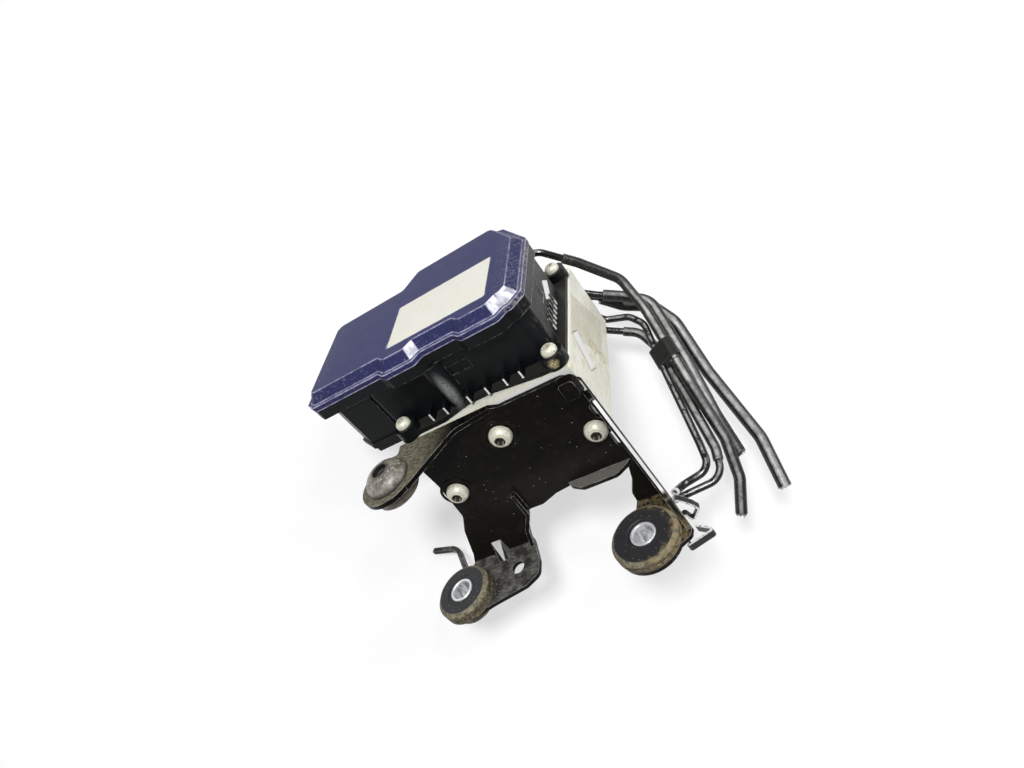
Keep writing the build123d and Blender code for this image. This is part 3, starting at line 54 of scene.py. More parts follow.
HOUSING_COLUMN = (67.5, 38.0, 121.0)
STAINED_EAR = (129.8, 30.5, 112.0)
END_RIB_ROW = (58.0, 87.0)  # Y of the row of ribs on the housing's end wall
FLANGE_RIBS = (50.0, 60.0, 76.0, 88.0, 100.0, 110.0)  # X of each rib
WEB_WIDTH = 1.3
WEB_SIDE = ((33.6, 109.8), (33.6, 115.2), (34.2, 115.8), (42.5, 115.8), (42.5, 109.8))  # Y, Z

# The right flange leans, so its worn edge is found by how far it reaches along FLANGE_ACROSS.
FLANGE_ACROSS = (0.927, 0.375, 0.0)
FLANGE_OUTSIDE = 137.5 * FLANGE_ACROSS[0] + 27.0 * FLANGE_ACROSS[1]
FLANGE_WORN_FROM = 10.0  # Z

BRACKET_SCREWS = ((80.0, 87.0), (127.5, 64.0), (31.5, 61.5))  # X, Z
HOUSING_SCREWS = ((129.5, 37.0), (32.0, 35.0), (129.5, 120.6), (32.0, 120.0))  # X, Y
LEFT_LOWER_AXIS = (0.0, 0.0)
RIGHT_LOWER_AXIS = (124.0, -3.5)
LEFT_UPPER_AXIS = (20.5, 5.0)
LOWER_SLEEVES = ((LEFT_LOWER_AXIS, 9.4), (RIGHT_LOWER_AXIS, 7.3))  # axis, top
LEFT_NOTCH = (24.5, 22.5, 6.0)
NOTCH_FAR_SIDE = (27.0, 22.0, 5.0)
PIPE_ENDS = (
    (165.0, 39.0, -53.0),
    (178.0, 69.0, -34.0),
    (194.0, 51.0, -58.0),
    (142.5, 26.0, -2.0),
    (135.0, 34.5, -17.0),
)

PIPE_HIGHLIGHT_SIDE = (0.2, -0.55, 0.81)  # the side of the pipes and hoses on which a highlight is painted

# ---------------------------------------------------------------- floor, light and camera, in metres
FLOOR_NORMAL = (0.418, -0.641, 0.643)
FLOOR_DROP = -53.0  # millimetres along the normal
FLOOR_MIDDLE = (0.08, 0.06, 0.05)
LIGHT_AIM = (0.07, 0.05, 0.06)
CAMERA_PLACE = (0.2498, -0.2586, 0.2989)
CAMERA_RIGHT = (0.83, 0.061, -0.554)
CAMERA_BACK = (0.39, -0.773, 0.5)
CAMERA_LENS = 24.86  # millimetres


# ---------------------------------------------------------------- node helpers
def wire(tree, target, value):
    """Links a socket to the target, or sets a plain value on it."""
    if isinstance(value, bpy.types.NodeSocket):
        tree.links.new(value, target)
    elif isinstance(value, (tuple, list)) and target.type == "RGBA":
        target.default_value = (*value[:3], 1.0)
    else:
        target.default_value = value


def new_finish(name, colour, roughness, metallic=0.0, shine=0.5):
    """A new material with its shader and the object's own coordinates."""
    material = bpy.data.materials.new(name)
    material.use_nodes = True
    tree = material.node_tree
    shader = tree.nodes["Principled BSDF"]
    shader.inputs["Base Color"].default_value = (*colour, 1.0)
    shader.inputs["Roughness"].default_value = roughness
    shader.inputs["Metallic"].default_value = metallic
    shader.inputs["Specular IOR Level"].default_value = shine
    where = tree.nodes.new("ShaderNodeTexCoord").outputs["Object"]
    return material, tree, shader, where


def noise(tree, where, feature, detail=3.0, rough=0.55, stretch=(1.0, 1.0, 1.0)):
    """Cloudy noise from 0 to 1 whose blotches are about feature millimetres across."""
    mapping = tree.nodes.new("ShaderNodeMapping")
    mapping.inputs["Scale"].default_value = stretch
    tree.links.new(where, mapping.inputs["Vector"])
    cloud = tree.nodes.new("ShaderNodeTexNoise")
    cloud.inputs["Scale"].default_value = 1.0 / (feature * MM)
    cloud.inputs["Detail"].default_value = detail
    cloud.inputs["Roughness"].default_value = rough
    tree.links.new(mapping.outputs["Vector"], cloud.inputs["Vector"])
    return cloud.outputs["Fac"]


def specks(tree, where, spacing, size):
    """Scattered round specks, 1 inside a speck and 0 outside."""
    cells = tree.nodes.new("ShaderNodeTexVoronoi")
    cells.inputs["Scale"].default_value = 1.0 / (spacing * MM)
    tree.links.new(where, cells.inputs["Vector"])
    return between(tree, cells.outputs["Distance"], size, size * 0.55)


def between(tree, value, start, end):
    """0 below start and 1 above end, with a smooth step, or the other way where end is lower."""
    step = tree.nodes.new("ShaderNodeMapRange")
    step.interpolation_type = "SMOOTHSTEP"
    low, high = min(start, end), max(start, end)
    step.inputs["From Min"].default_value = low
    step.inputs["From Max"].default_value = high
    step.inputs["To Min"].default_value = 0.0 if start < end else 1.0
    step.inputs["To Max"].default_value = 1.0 if start < end else 0.0
    wire(tree, step.inputs["Value"], value)
    return step.outputs["Result"]


def band(tree, value, low, high, soft=0.4):
    """1 between low and high, with soft ends."""
    rising = between(tree, value, low - soft, low + soft)
    return times(tree, rising, between(tree, value, high + soft, high - soft))


def maths(tree, operation, first, second=0.0):
    """One sum on two values."""
    node = tree.nodes.new("ShaderNodeMath")
    node.operation = operation
    wire(tree, node.inputs[0], first)
    wire(tree, node.inputs[1], second)
    return node.outputs["Value"]


def times(tree, first, second):
    """Both masks at once."""
    return maths(tree, "MULTIPLY", first, second)


def either(tree, first, second):
    """The stronger of two masks."""
    return maths(tree, "MAXIMUM", first, second)


def mixed(tree, amount, first, second):
    """A colour between the first and the second."""
    node = tree.nodes.new("ShaderNodeMix")
    node.data_type = "RGBA"
    wire(tree, node.inputs["Factor"], amount)
    wire(tree, node.inputs[6], first)
    wire(tree, node.inputs[7], second)
    return node.outputs[2]


def blended(tree, amount, first, second):
    """A number between the first and the second."""
    node = tree.nodes.new("ShaderNodeMix")
    node.data_type = "FLOAT"
    wire(tree, node.inputs["Factor"], amount)
    wire(tree, node.inputs[2], first)
    wire(tree, node.inputs[3], second)
    return node.outputs[0]


def axis_of(tree, where, axis):
    """The X, Y or Z of the place, in millimetres."""
    split = tree.nodes.new("ShaderNodeSeparateXYZ")
    tree.links.new(where, split.inputs["Vector"])
    return times(tree, split.outputs[axis], 1.0 / MM)


def reach_from(tree, where, centre, flatten=(1.0, 1.0, 1.0)):
    """Distance from a point in millimetres; flatten drops or stretches an axis."""
    shift = tree.nodes.new("ShaderNodeVectorMath")
    shift.operation = "SUBTRACT"
    tree.links.new(where, shift.inputs[0])
    shift.inputs[1].default_value = [c * MM for c in centre]
    squeeze = tree.nodes.new("ShaderNodeVectorMath")
    squeeze.operation = "MULTIPLY"
    tree.links.new(shift.outputs["Vector"], squeeze.inputs[0])
    squeeze.inputs[1].default_value = [f / MM for f in flatten]
    span = tree.nodes.new("ShaderNodeVectorMath")
    span.operation = "LENGTH"
    tree.links.new(squeeze.outputs["Vector"], span.inputs[0])
    return span.outputs["Value"]


def facing(tree, direction, start, end):
    """1 on faces that look along the direction, by the surface's own normal."""
    geometry = tree.nodes.new("ShaderNodeNewGeometry")
    dot = tree.nodes.new("ShaderNodeVectorMath")
    dot.operation = "DOT_PRODUCT"
    tree.links.new(geometry.outputs["Normal"], dot.inputs[0])
    dot.inputs[1].default_value = Vector(direction).normalized()
    return between(tree, dot.outputs["Value"], start, end)


def edges(tree, reach, start, end):
    """1 along rounded-off corners, from how far a bevelled normal leans away."""
    bevel = tree.nodes.new("ShaderNodeBevel")
    bevel.samples = 6
    bevel.inputs["Radius"].default_value = reach * MM
    geometry = tree.nodes.new("ShaderNodeNewGeometry")
    dot = tree.nodes.new("ShaderNodeVectorMath")
    dot.operation = "DOT_PRODUCT"
    tree.links.new(bevel.outputs["Normal"], dot.inputs[0])
    tree.links.new(geometry.outputs["Normal"], dot.inputs[1])
    return between(tree, maths(tree, "SUBTRACT", 1.0, dot.outputs["Value"]), start, end)


def raise_surface(tree, shader, height, strength, depth):
    """Bump from a height, depth in millimetres."""
    bump = tree.nodes.new("ShaderNodeBump")
    bump.inputs["Strength"].default_value = strength
    bump.inputs["Distance"].default_value = depth * MM
    tree.links.new(height, bump.inputs["Height"])
    tree.links.new(bump.outputs["Normal"], shader.inputs["Normal"])


# ---------------------------------------------------------------- finishes
def lid_plastic():
    """Satin navy plastic, dusty at its ends, with painted shade on its sides and painted highlights along its
    rounds and on its near right facets.
    """
    material, tree, shader, where = new_finish("lid_navy_plastic", (0.035, 0.038, 0.118), 0.32, shine=0.03)
    across = axis_of(tree, where, 0)
    height = axis_of(tree, where, 2)
    cloud = noise(tree, where, 9.0, 5.0, 0.65)
    colour = mixed(tree, cloud, (0.03, 0.033, 0.103), (0.056, 0.059, 0.154))
    # Painted shade: the lid's sides, which turn away from straight up, are painted darker than its top.
    sides = facing(tree, (0.0, 0.0, 1.0), 0.96, 0.8)
    colour = mixed(tree, times(tree, sides, 0.45), colour, (0.02, 0.021, 0.07))
    scatter = noise(tree, where, 1.6, 5.0, 0.7)
    right_end = between(tree, across, 114.0, 128.0)
    left_end = times(tree, between(tree, across, 4.0, -8.0), 0.75)
    dust = times(tree, between(tree, scatter, 0.52, 0.66), either(tree, right_end, left_end))
    far_rim = times(tree, between(tree, height, 150.5, 148.5), right_end)
    rim = times(tree, far_rim, between(tree, noise(tree, where, 2.0, 5.0, 0.7), 0.44, 0.6))
    grime = either(tree, times(tree, dust, 0.5), times(tree, rim, 0.75))
    colour = mixed(tree, grime, colour, (0.34, 0.31, 0.23))
    patchy = blended(tree, between(tree, noise(tree, where, 3.5, 4.0), 0.38, 0.58), 0.4, 1.0)
    near_side = either(tree, between(tree, axis_of(tree, where, 1), 60.0, 52.0), times(tree, right_end, 0.6))
    # Painted highlight: pale lilac lines along the lid's rounded edges, strongest on its near side.
    pale_marks = times(tree, edges(tree, 1.3, 0.005, 0.07), patchy)
    edge_highlight = times(tree, pale_marks, blended(tree, near_side, 0.25, 1.0))
    colour = mixed(tree, times(tree, edge_highlight, 0.9), colour, (0.66, 0.66, 0.86))
    streaks = times(tree, sides, between(tree, noise(tree, where, 1.1, 5.0, 0.7, (0.5, 0.5, 1.4)), 0.55, 0.7))
    colour = mixed(tree, times(tree, streaks, 0.35), colour, (0.34, 0.34, 0.5))
    cloudy = blended(tree, between(tree, noise(tree, where, 4.5, 3.0), 0.36, 0.6), 0.45, 1.0)
    # Painted highlight: near-white on the facets that face front and right, and along the straight between
    # the near right corners.
    near_face = facing(tree, (0.0, -0.77, 0.63), 0.9, 0.97)
    corner_run = times(tree, band(tree, across, *LID_CORNER_RUN), near_face)
    turned = either(tree, facing(tree, (0.55, -0.55, 0.63), 0.93, 0.985), times(tree, corner_run, 0.85))
    facet_highlight = times(tree, turned, cloudy)
    colour = mixed(tree, times(tree, facet_highlight, 0.9), colour, (0.86, 0.87, 0.95))
    wire(tree, shader.inputs["Base Color"], colour)
    wire(tree, shader.inputs["Roughness"], blended(tree, grime, blended(tree, scatter, 0.22, 0.38), 0.75))
    raise_surface(tree, shader, noise(tree, where, 0.7, 2.0), 0.25, 0.05)
    return material


def housing_plastic():
    """Black plastic with dust on its flange and end, pale scuffs, painted highlights on its ribs, a painted
    sheen on its column and a stained ear.
    """
    material, tree, shader, where = new_finish(
        "housing_black_plastic", (0.006, 0.007, 0.008), 0.4, shine=0.16
    )
    across = axis_of(tree, where, 0)
    height = axis_of(tree, where, 2)
    cloud = noise(tree, where, 7.0, 4.0)
    colour = mixed(tree, cloud, (0.002, 0.003, 0.003), (0.007, 0.009, 0.01))
    fleck = noise(tree, where, 1.3, 6.0, 0.75)
    end_wall = times(tree, facing(tree, (1.0, 0.0, 0.0), 0.5, 0.95), between(tree, across, 126.0, 129.0))
    runs = noise(tree, where, 2.2, 6.0, 0.75, (1.0, 1.0, 0.35))
    end_dust = times(tree, end_wall, between(tree, runs, 0.5, 0.7))
    flange_dust = times(tree, facing(tree, (0.0, 0.0, 1.0), 0.4, 0.9), between(tree, height, 112.5, 111.0))
    grime = either(tree, times(tree, end_dust, 0.3), times(tree, times(tree, flange_dust, fleck), 0.12))
    colour = mixed(tree, grime, colour, (0.34, 0.31, 0.24))
    pale_marks = edges(tree, 0.6, 0.01, 0.16)
    patchy = between(tree, noise(tree, where, 3.0, 5.0), 0.4, 0.62)
    far_end = between(tree, across, 124.0, 130.0)
    walls = between(tree, height, 115.0, 118.0)
    share = blended(tree, far_end, times(tree, patchy, 0.25), blended(tree, patchy, 0.25, 0.7))
    scuffs_and_highlights = times(tree, times(tree, pale_marks, walls), share)
    deep = axis_of(tree, where, 1)
    # Painted highlight: pale ticks on the tips of the flange ribs and the end wall's ribs, mixed in with the
    # pale scuffs.
    rib_tips = times(tree, band(tree, height, 110.2, 115.9, 0.3), facing(tree, (0.0, -1.0, 0.0), 0.9, 0.97))
    rib_tips = times(tree, rib_tips, band(tree, deep, 33.0, 34.6, 0.2))
    end_ribs = times(tree, between(tree, across, 130.9, 131.2), band(tree, deep, *END_RIB_ROW))
    end_ribs = times(tree, times(tree, end_ribs, band(tree, height, 112.0, 116.2)), 0.75)
    scuffs_and_highlights = either(tree, scuffs_and_highlights, either(tree, times(tree, rib_tips, 0.95), end_ribs))
    colour = mixed(tree, scuffs_and_highlights, colour, (0.85, 0.85, 0.83))
    # Painted sheen: a grey smear down the housing's round column.
    column = reach_from(tree, where, HOUSING_COLUMN, (1.0, 0.6, 0.26))
    sheen = times(tree, between(tree, column, 4.6, 0.6), between(tree, fleck, 0.25, 0.6))
    colour = mixed(tree, times(tree, sheen, 0.6), colour, (0.42, 0.43, 0.43))
    ear = between(tree, reach_from(tree, where, STAINED_EAR), 3.8, 1.6)
    stain = times(tree, ear, between(tree, noise(tree, where, 2.4, 4.0), 0.38, 0.5))
    stain = times(tree, stain, blended(tree, between(tree, fleck, 0.4, 0.56), 0.25, 1.0))
    colour = mixed(tree, times(tree, stain, 0.9), colour, (0.6, 0.5, 0.27))
    wire(tree, shader.inputs["Base Color"], colour)
    dull = either(tree, grime, stain)
    wire(tree, shader.inputs["Roughness"], blended(tree, dull, blended(tree, cloud, 0.26, 0.46), 0.8))
    raise_surface(tree, shader, noise(tree, where, 0.6, 2.0), 0.3, 0.05)
    return material


def block_aluminium():
    """Drawn aluminium, pale and stained olive, with a painted highlight on a strip of its near face."""
    material, tree, shader, where = new_finish("block_aluminium_stained", (0.8, 0.79, 0.7), 0.5, 0.12)
    brushed = noise(tree, where, 3.0, 4.0, 0.6, (0.4, 5.0, 1.0))
    colour = mixed(tree, brushed, (0.78, 0.77, 0.67), (0.95, 0.95, 0.86))
    stain = between(tree, noise(tree, where, 5.0, 6.0, 0.7, (1.0, 0.55, 1.5)), 0.46, 0.66)
    colour = mixed(tree, times(tree, stain, 0.6), colour, (0.62, 0.6, 0.36))
    rim = times(tree, edges(tree, 3.4, 0.02, 0.3), between(tree, noise(tree, where, 1.2, 4.0), 0.35, 0.6))
    colour = mixed(tree, times(tree, rim, 0.75), colour, (0.62, 0.62, 0.3))
    white = between(tree, noise(tree, where, 1.5, 6.0, 0.75), 0.56, 0.7)
    colour = mixed(tree, times(tree, white, 0.6), colour, (0.95, 0.95, 0.9))
    pits = specks(tree, where, 1.7, 0.2)
    colour = mixed(tree, times(tree, pits, 0.3), colour, (0.2, 0.18, 0.1))
    colour = ring_stains(tree, where, colour)
    # Painted highlight: near-white on a strip of the block's near face under the housing.
    near_face = facing(tree, (0.0, -1.0, 0.0), 0.8, 0.95)
    strip = times(tree, near_face, between(tree, axis_of(tree, where, 2), 98.0, 99.5))
    colour = mixed(tree, times(tree, strip, 0.85), colour, (0.98, 0.98, 0.96))
    wire(tree, shader.inputs["Base Color"], colour)
    wire(tree, shader.inputs["Roughness"], blended(tree, stain, 0.38, 0.62))
    raise_surface(tree, shader, brushed, 0.35, 0.08)
    return material


def ring_stains(tree, where, colour):
    """Two brown tide marks left by drops on the block's end."""
    for centre, size in DROP_MARKS:
        ring = reach_from(tree, where, centre)
        broken = blended(tree, between(tree, noise(tree, where, 1.5, 4.0), 0.4, 0.55), 0.3, 1.0)
        pool = times(tree, between(tree, ring, size, size * 0.6), 0.25)
        colour = mixed(tree, pool, colour, (0.62, 0.56, 0.27))
        mark = times(tree, band(tree, ring, size * 0.62, size * 0.9, 0.5), broken)
        colour = mixed(tree, times(tree, mark, 0.7), colour, (0.42, 0.35, 0.12))
    return colour


def zinc_steel(name, axes, along, socket, socket_shade):
    """Dull yellow-passivated zinc, pale with white bloom, with painted shade in the sockets, and rusting in
    places.
    """
    material, tree, shader, where = new_finish(name, (0.76, 0.74, 0.6), 0.45, 0.2)
    colour = mixed(tree, noise(tree, where, 2.4, 4.0), (0.6, 0.58, 0.44), (0.88, 0.87, 0.74))
    white_bloom = between(tree, noise(tree, where, 1.4, 5.0, 0.7), 0.5, 0.64)
    colour = mixed(tree, times(tree, white_bloom, 0.7), colour, (0.95, 0.95, 0.86))
    rust = between(tree, noise(tree, where, 2.1, 6.0, 0.72), 0.6, 0.7)
    colour = mixed(tree, times(tree, rust, 0.7), colour, (0.24, 0.16, 0.06))
    flatten = [0.0 if axis == along else 1.0 for axis in range(3)]
    for centre in axes:
        ring = reach_from(tree, where, centre, flatten)
        hollow = between(tree, ring, socket * 1.32, socket * 1.05)
        rim = band(tree, ring, socket * 1.5, socket * 1.75, socket * 0.12)
        colour = mixed(tree, times(tree, rim, 0.35), colour, (0.3, 0.27, 0.17))
        # Painted shade: the socket recesses are darkened nearly to black.
        colour = mixed(tree, times(tree, hollow, socket_shade), colour, (0.035, 0.033, 0.025))
    wire(tree, shader.inputs["Base Color"], colour)
    wire(tree, shader.inputs["Roughness"], blended(tree, either(tree, rust, white_bloom), 0.34, 0.65))
    raise_surface(tree, shader, noise(tree, where, 0.8, 5.0, 0.7), 0.5, 0.12)
    return material


def bracket_paint():
    """Black paint with road dust: brown on the arm and rusty by the right tab; lip and left tab grey from
    dust and from painted light, with painted highlights on the flange's cut edge and the notch.
    """
    material, tree, shader, where = new_finish("bracket_black_paint", (0.006, 0.006, 0.005), 0.26, shine=0.06)
    across = axis_of(tree, where, 0)
    height = axis_of(tree, where, 2)
    cloud = noise(tree, where, 12.0)
    colour = mixed(tree, cloud, (0.002, 0.002, 0.0015), (0.006, 0.005, 0.004))
    film = between(tree, noise(tree, where, 5.0, 6.0, 0.7), 0.48, 0.72)
    brushed = noise(tree, where, 1.6, 5.0, 0.65, (0.5, 1.6, 1.0))
    upward = facing(tree, (0.0, 0.0, 1.0), 0.25, 0.9)
    arm = times(tree, between(tree, height, 92.0, 99.0), upward)
    arm = times(tree, arm, between(tree, across, 64.0, 34.0))
    colour = mixed(tree, times(tree, film, 0.04), colour, (0.17, 0.15, 0.11))
    leg = between(tree, height, 62.0, 44.0)
    colour = mixed(tree, times(tree, leg, blended(tree, brushed, 0.02, 0.07)), colour, (0.17, 0.155, 0.12))
    colour = mixed(tree, times(tree, arm, 0.9), colour, (0.055, 0.05, 0.035))
    colour = mixed(tree, times(tree, arm, between(tree, brushed, 0.3, 0.68)), colour, (0.23, 0.215, 0.155))
    # Partly dust and wear, partly painted light: the left tab's and the lip's upward faces are painted paler
    # grey.
    tabs = times(tree, between(tree, height, 6.0, 1.5), upward)
    left_tab = times(tree, tabs, between(tree, across, 60.0, 50.0))
    pale_marks = between(tree, noise(tree, where, 9.0, 4.0), 0.38, 0.62)
    tab_wear_and_light = mixed(tree, pale_marks, (0.055, 0.053, 0.048), (0.2, 0.195, 0.175))
    colour = mixed(tree, times(tree, left_tab, between(tree, brushed, 0.2, 0.75)), colour, tab_wear_and_light)
    lip = times(tree, band(tree, height, 33.0, 36.5), upward)
    lip = times(tree, lip, blended(tree, brushed, 0.4, 1.0))
    colour = mixed(tree, lip, colour, (0.19, 0.185, 0.165))
    right_tab = times(tree, tabs, between(tree, across, 90.0, 100.0))
    rust = times(tree, right_tab, between(tree, noise(tree, where, 3.0, 6.0, 0.7), 0.4, 0.58))
    colour = mixed(tree, times(tree, rust, 0.85), colour, (0.15, 0.115, 0.055))
    # Painted highlight: near-white on the facets of the notch beside the left tab.
    front = facing(tree, (0.0, -0.84, 0.54), 0.9, 0.97)
    beside = maths(tree, "ABSOLUTE", maths(tree, "SUBTRACT", across, LEFT_NOTCH[0]))
    taper = maths(tree, "SUBTRACT", beside, times(tree, maths(tree, "ADD", height, 1.0), 0.25))
    notch = between(tree, reach_from(tree, where, LEFT_NOTCH), 11.0, 9.5)
    gusset = times(tree, times(tree, between(tree, taper, 0.6, 0.0), notch), front)
    gusset = times(tree, gusset, blended(tree, brushed, 0.55, 1.0))
    beyond = times(tree, between(tree, across, 24.5, 26.0), facing(tree, (0.75, -0.6, 0.3), 0.7, 0.85))
    beyond = times(tree, beyond, between(tree, reach_from(tree, where, NOTCH_FAR_SIDE), 7.0, 6.0))
    gusset = either(tree, gusset, beyond)
    dots = times(tree, specks(tree, where, 3.4, 0.1), between(tree, noise(tree, where, 14.0), 0.48, 0.6))
    colour = mixed(tree, times(tree, dots, 0.8), colour, (0.62, 0.6, 0.54))
    # Pale where paint is worn from the edges, with painted highlights on the right flange's cut edge and the
    # notch's facets.
    bare = either(tree, worn_and_highlit_edges(tree, where), times(tree, gusset, 0.85))
    colour = mixed(tree, bare, colour, (0.9, 0.9, 0.88))
    wire(tree, shader.inputs["Base Color"], colour)
    grime = either(tree, arm, either(tree, rust, times(tree, left_tab, 0.4)))
    gloss = blended(tree, noise(tree, where, 6.0), 0.18, 0.34)
    wire(tree, shader.inputs["Roughness"], blended(tree, grime, blended(tree, bare, gloss, 0.45), 0.6))
    grain = either(tree, noise(tree, where, 1.3, 4.0), times(tree, brushed, arm))
    raise_surface(tree, shader, grain, 0.35, 0.08)
    return material


def worn_and_highlit_edges(tree, where):
    """Where the sheet is pale: paint worn from its rounded corners in places, and a painted highlight all
    down the right flange's cut edge.
    """
    height = axis_of(tree, where, 2)
    corner = edges(tree, 0.5, 0.015, 0.16)
    round_screws = [
        between(tree, reach_from(tree, where, (x, 0.0, z), (1.0, 0.0, 1.0)), 14.0, 12.5)
        for x, z in (BRACKET_SCREWS[0], BRACKET_SCREWS[2])
    ]
    corner = times(tree, corner, blended(tree, either(tree, *round_screws), 1.0, 0.1))
    lean = tree.nodes.new("ShaderNodeVectorMath")
    lean.operation = "DOT_PRODUCT"
    tree.links.new(where, lean.inputs[0])
    lean.inputs[1].default_value = [c / MM for c in FLANGE_ACROSS]
    outer_half = between(tree, maths(tree, "SUBTRACT", lean.outputs["Value"], FLANGE_OUTSIDE), -1.9, -1.6)
    down = times(tree, outer_half, band(tree, height, FLANGE_WORN_FROM, 100.0, 1.5))
    # Painted highlight: the right flange's cut edge, near-white where it faces the front.
    cut_edge = times(tree, down, facing(tree, (0.375, -0.927, 0.0), 0.8, 0.95))
    patchy = between(tree, noise(tree, where, 7.0, 4.0), 0.42, 0.58)
    tab_rims = times(tree, between(tree, height, 8.0, 2.0), 0.35)
    share = either(tree, tab_rims, blended(tree, patchy, 0.08, 0.55))
    return either(tree, times(tree, corner, share), cut_edge)


def isolator_rubber(name, axis, radius, top, face_colour, rust=0.0):
    """Perished rubber: a dark face, a thin dusty bevel at its rim and blackened, stained sides."""
    material, tree, shader, where = new_finish(name, face_colour, 0.6, shine=0.3)
    reach = reach_from(tree, where, (axis[0], axis[1], 0.0), (1.0, 1.0, 0.0))
    crumb = noise(tree, where, 2.4, 6.0, 0.72)
    dusted = [c * 2.2 + 0.006 for c in face_colour]
    colour = mixed(tree, noise(tree, where, 3.2, 5.0, 0.7), face_colour, dusted)
    broken = blended(tree, between(tree, crumb, 0.35, 0.6), 0.2, 1.0)
    rim = times(tree, between(tree, reach, radius - 3.0, radius - 1.9), broken)
    colour = mixed(tree, times(tree, rim, 0.9), colour, (0.3, 0.265, 0.17))
    height = axis_of(tree, where, 2)
    side = between(tree, height, top - 1.4, top - 2.6)
    stained = mixed(tree, between(tree, crumb, 0.42, 0.6), (0.05, 0.043, 0.03), (0.19, 0.16, 0.1))
    colour = mixed(tree, side, colour, stained)
    if rust:
        right_half = between(tree, axis_of(tree, where, 0), axis[0] - 6.0, axis[0] + 8.0)
        lean = times(tree, right_half, between(tree, reach, radius - 6.0, radius - 2.0))
        patch = times(tree, between(tree, noise(tree, where, 3.4, 6.0, 0.74), 0.44, 0.58), lean)
        colour = mixed(tree, times(tree, patch, rust), colour, (0.25, 0.19, 0.09))
    pale = times(tree, specks(tree, where, 2.6, 0.14), 0.5)
    colour = mixed(tree, pale, colour, (0.45, 0.42, 0.34))
    wire(tree, shader.inputs["Base Color"], colour)
    satin = blended(tree, noise(tree, where, 1.6), 0.36, 0.56)
    wire(tree, shader.inputs["Roughness"], blended(tree, rim, satin, 0.85))
    raise_surface(tree, shader, noise(tree, where, 0.9, 4.0, 0.7), 0.5, 0.14)
    return material


def dome_rubber():
    """The upper isolator's rounded cap, brownish grey and glossy, with painted highlights in patches, dark
    round its bore.
    """
    material, tree, shader, where = new_finish("upper_isolator_rubber", (0.1, 0.092, 0.078), 0.3, shine=0.8)
    reach = reach_from(tree, where, (*LEFT_UPPER_AXIS, 0.0), (1.0, 1.0, 0.0))
    crumb = noise(tree, where, 3.4, 6.0, 0.72)
    colour = mixed(tree, between(tree, crumb, 0.3, 0.7), (0.045, 0.037, 0.027), (0.3, 0.275, 0.225))
    height = axis_of(tree, where, 2)
    colour = mixed(tree, between(tree, height, 110.0, 107.5), colour, (0.04, 0.034, 0.024))
    below = times(tree, between(tree, height, 101.0, 99.0), between(tree, crumb, 0.4, 0.6))
    colour = mixed(tree, below, colour, (0.12, 0.1, 0.065))
    colour = mixed(tree, between(tree, reach, 6.6, 4.4), colour, (0.016, 0.015, 0.013))
    # Painted highlight: pale patches on the cap's rounded face around the bore.
    bright = between(tree, noise(tree, where, 1.5, 6.0, 0.75), 0.54, 0.64)
    bright = times(tree, bright, band(tree, reach, 6.5, 12.0, 1.0))
    colour = mixed(tree, times(tree, bright, 0.8), colour, (0.7, 0.68, 0.6))
    wire(tree, shader.inputs["Base Color"], colour)
    wire(tree, shader.inputs["Roughness"], blended(tree, crumb, 0.2, 0.5))
    raise_surface(tree, shader, noise(tree, where, 1.6, 5.0, 0.7), 0.7, 0.25)
    return material


def sleeve_steel():
    """Turned spacer sleeves, bright on their ends and dull and streaked inside."""
    material, tree, shader, where = new_finish("sleeve_bright_steel", (0.86, 0.87, 0.88), 0.35, 0.55)
    height = axis_of(tree, where, 2)
    streaks = noise(tree, where, 2.4, 5.0, 0.7, (1.0, 1.0, 0.3))
    colour = mixed(tree, noise(tree, where, 1.7, 4.0), (0.75, 0.76, 0.77), (0.95, 0.96, 0.97))
    for axis, top in LOWER_SLEEVES:
        bore = between(tree, reach_from(tree, where, (*axis, 0.0), (1.0, 1.0, 0.0)), 6.7, 6.4)
        down = times(tree, bore, between(tree, height, top, top - 1.5))
        inside = mixed(tree, between(tree, streaks, 0.36, 0.6), (0.26, 0.27, 0.275), (0.82, 0.84, 0.85))
        colour = mixed(tree, down, colour, inside)
    wire(tree, shader.inputs["Base Color"], colour)
    wire(tree, shader.inputs["Roughness"], blended(tree, streaks, 0.24, 0.5))
    raise_surface(tree, shader, noise(tree, where, 0.5, 3.0), 0.2, 0.04)
    return material


def spring_steel(name, cut_face):
    """Blackened spring steel, with painted highlights on its rounded edges and on the strip's cut face."""
    material, tree, shader, where = new_finish(name, (0.02, 0.02, 0.02), 0.35, 0.3)
    patchy = between(tree, noise(tree, where, 1.6, 4.0), 0.34, 0.5)
    # Painted highlight: near-white on the strip's cut face and along its rounded edges.
    cut_face_highlight = times(tree, facing(tree, cut_face, 0.9, 0.98), patchy)
    edge_highlight = either(tree, times(tree, edges(tree, 0.5, 0.006, 0.1), 0.8), cut_face_highlight)
    colour = mixed(tree, noise(tree, where, 3.0), (0.01, 0.01, 0.01), (0.03, 0.029, 0.026))
    colour = mixed(tree, times(tree, edge_highlight, 0.95), colour, (0.95, 0.95, 0.95))
    wire(tree, shader.inputs["Base Color"], colour)
    wire(tree, shader.inputs["Roughness"], blended(tree, edge_highlight, 0.36, 0.3))
    return material


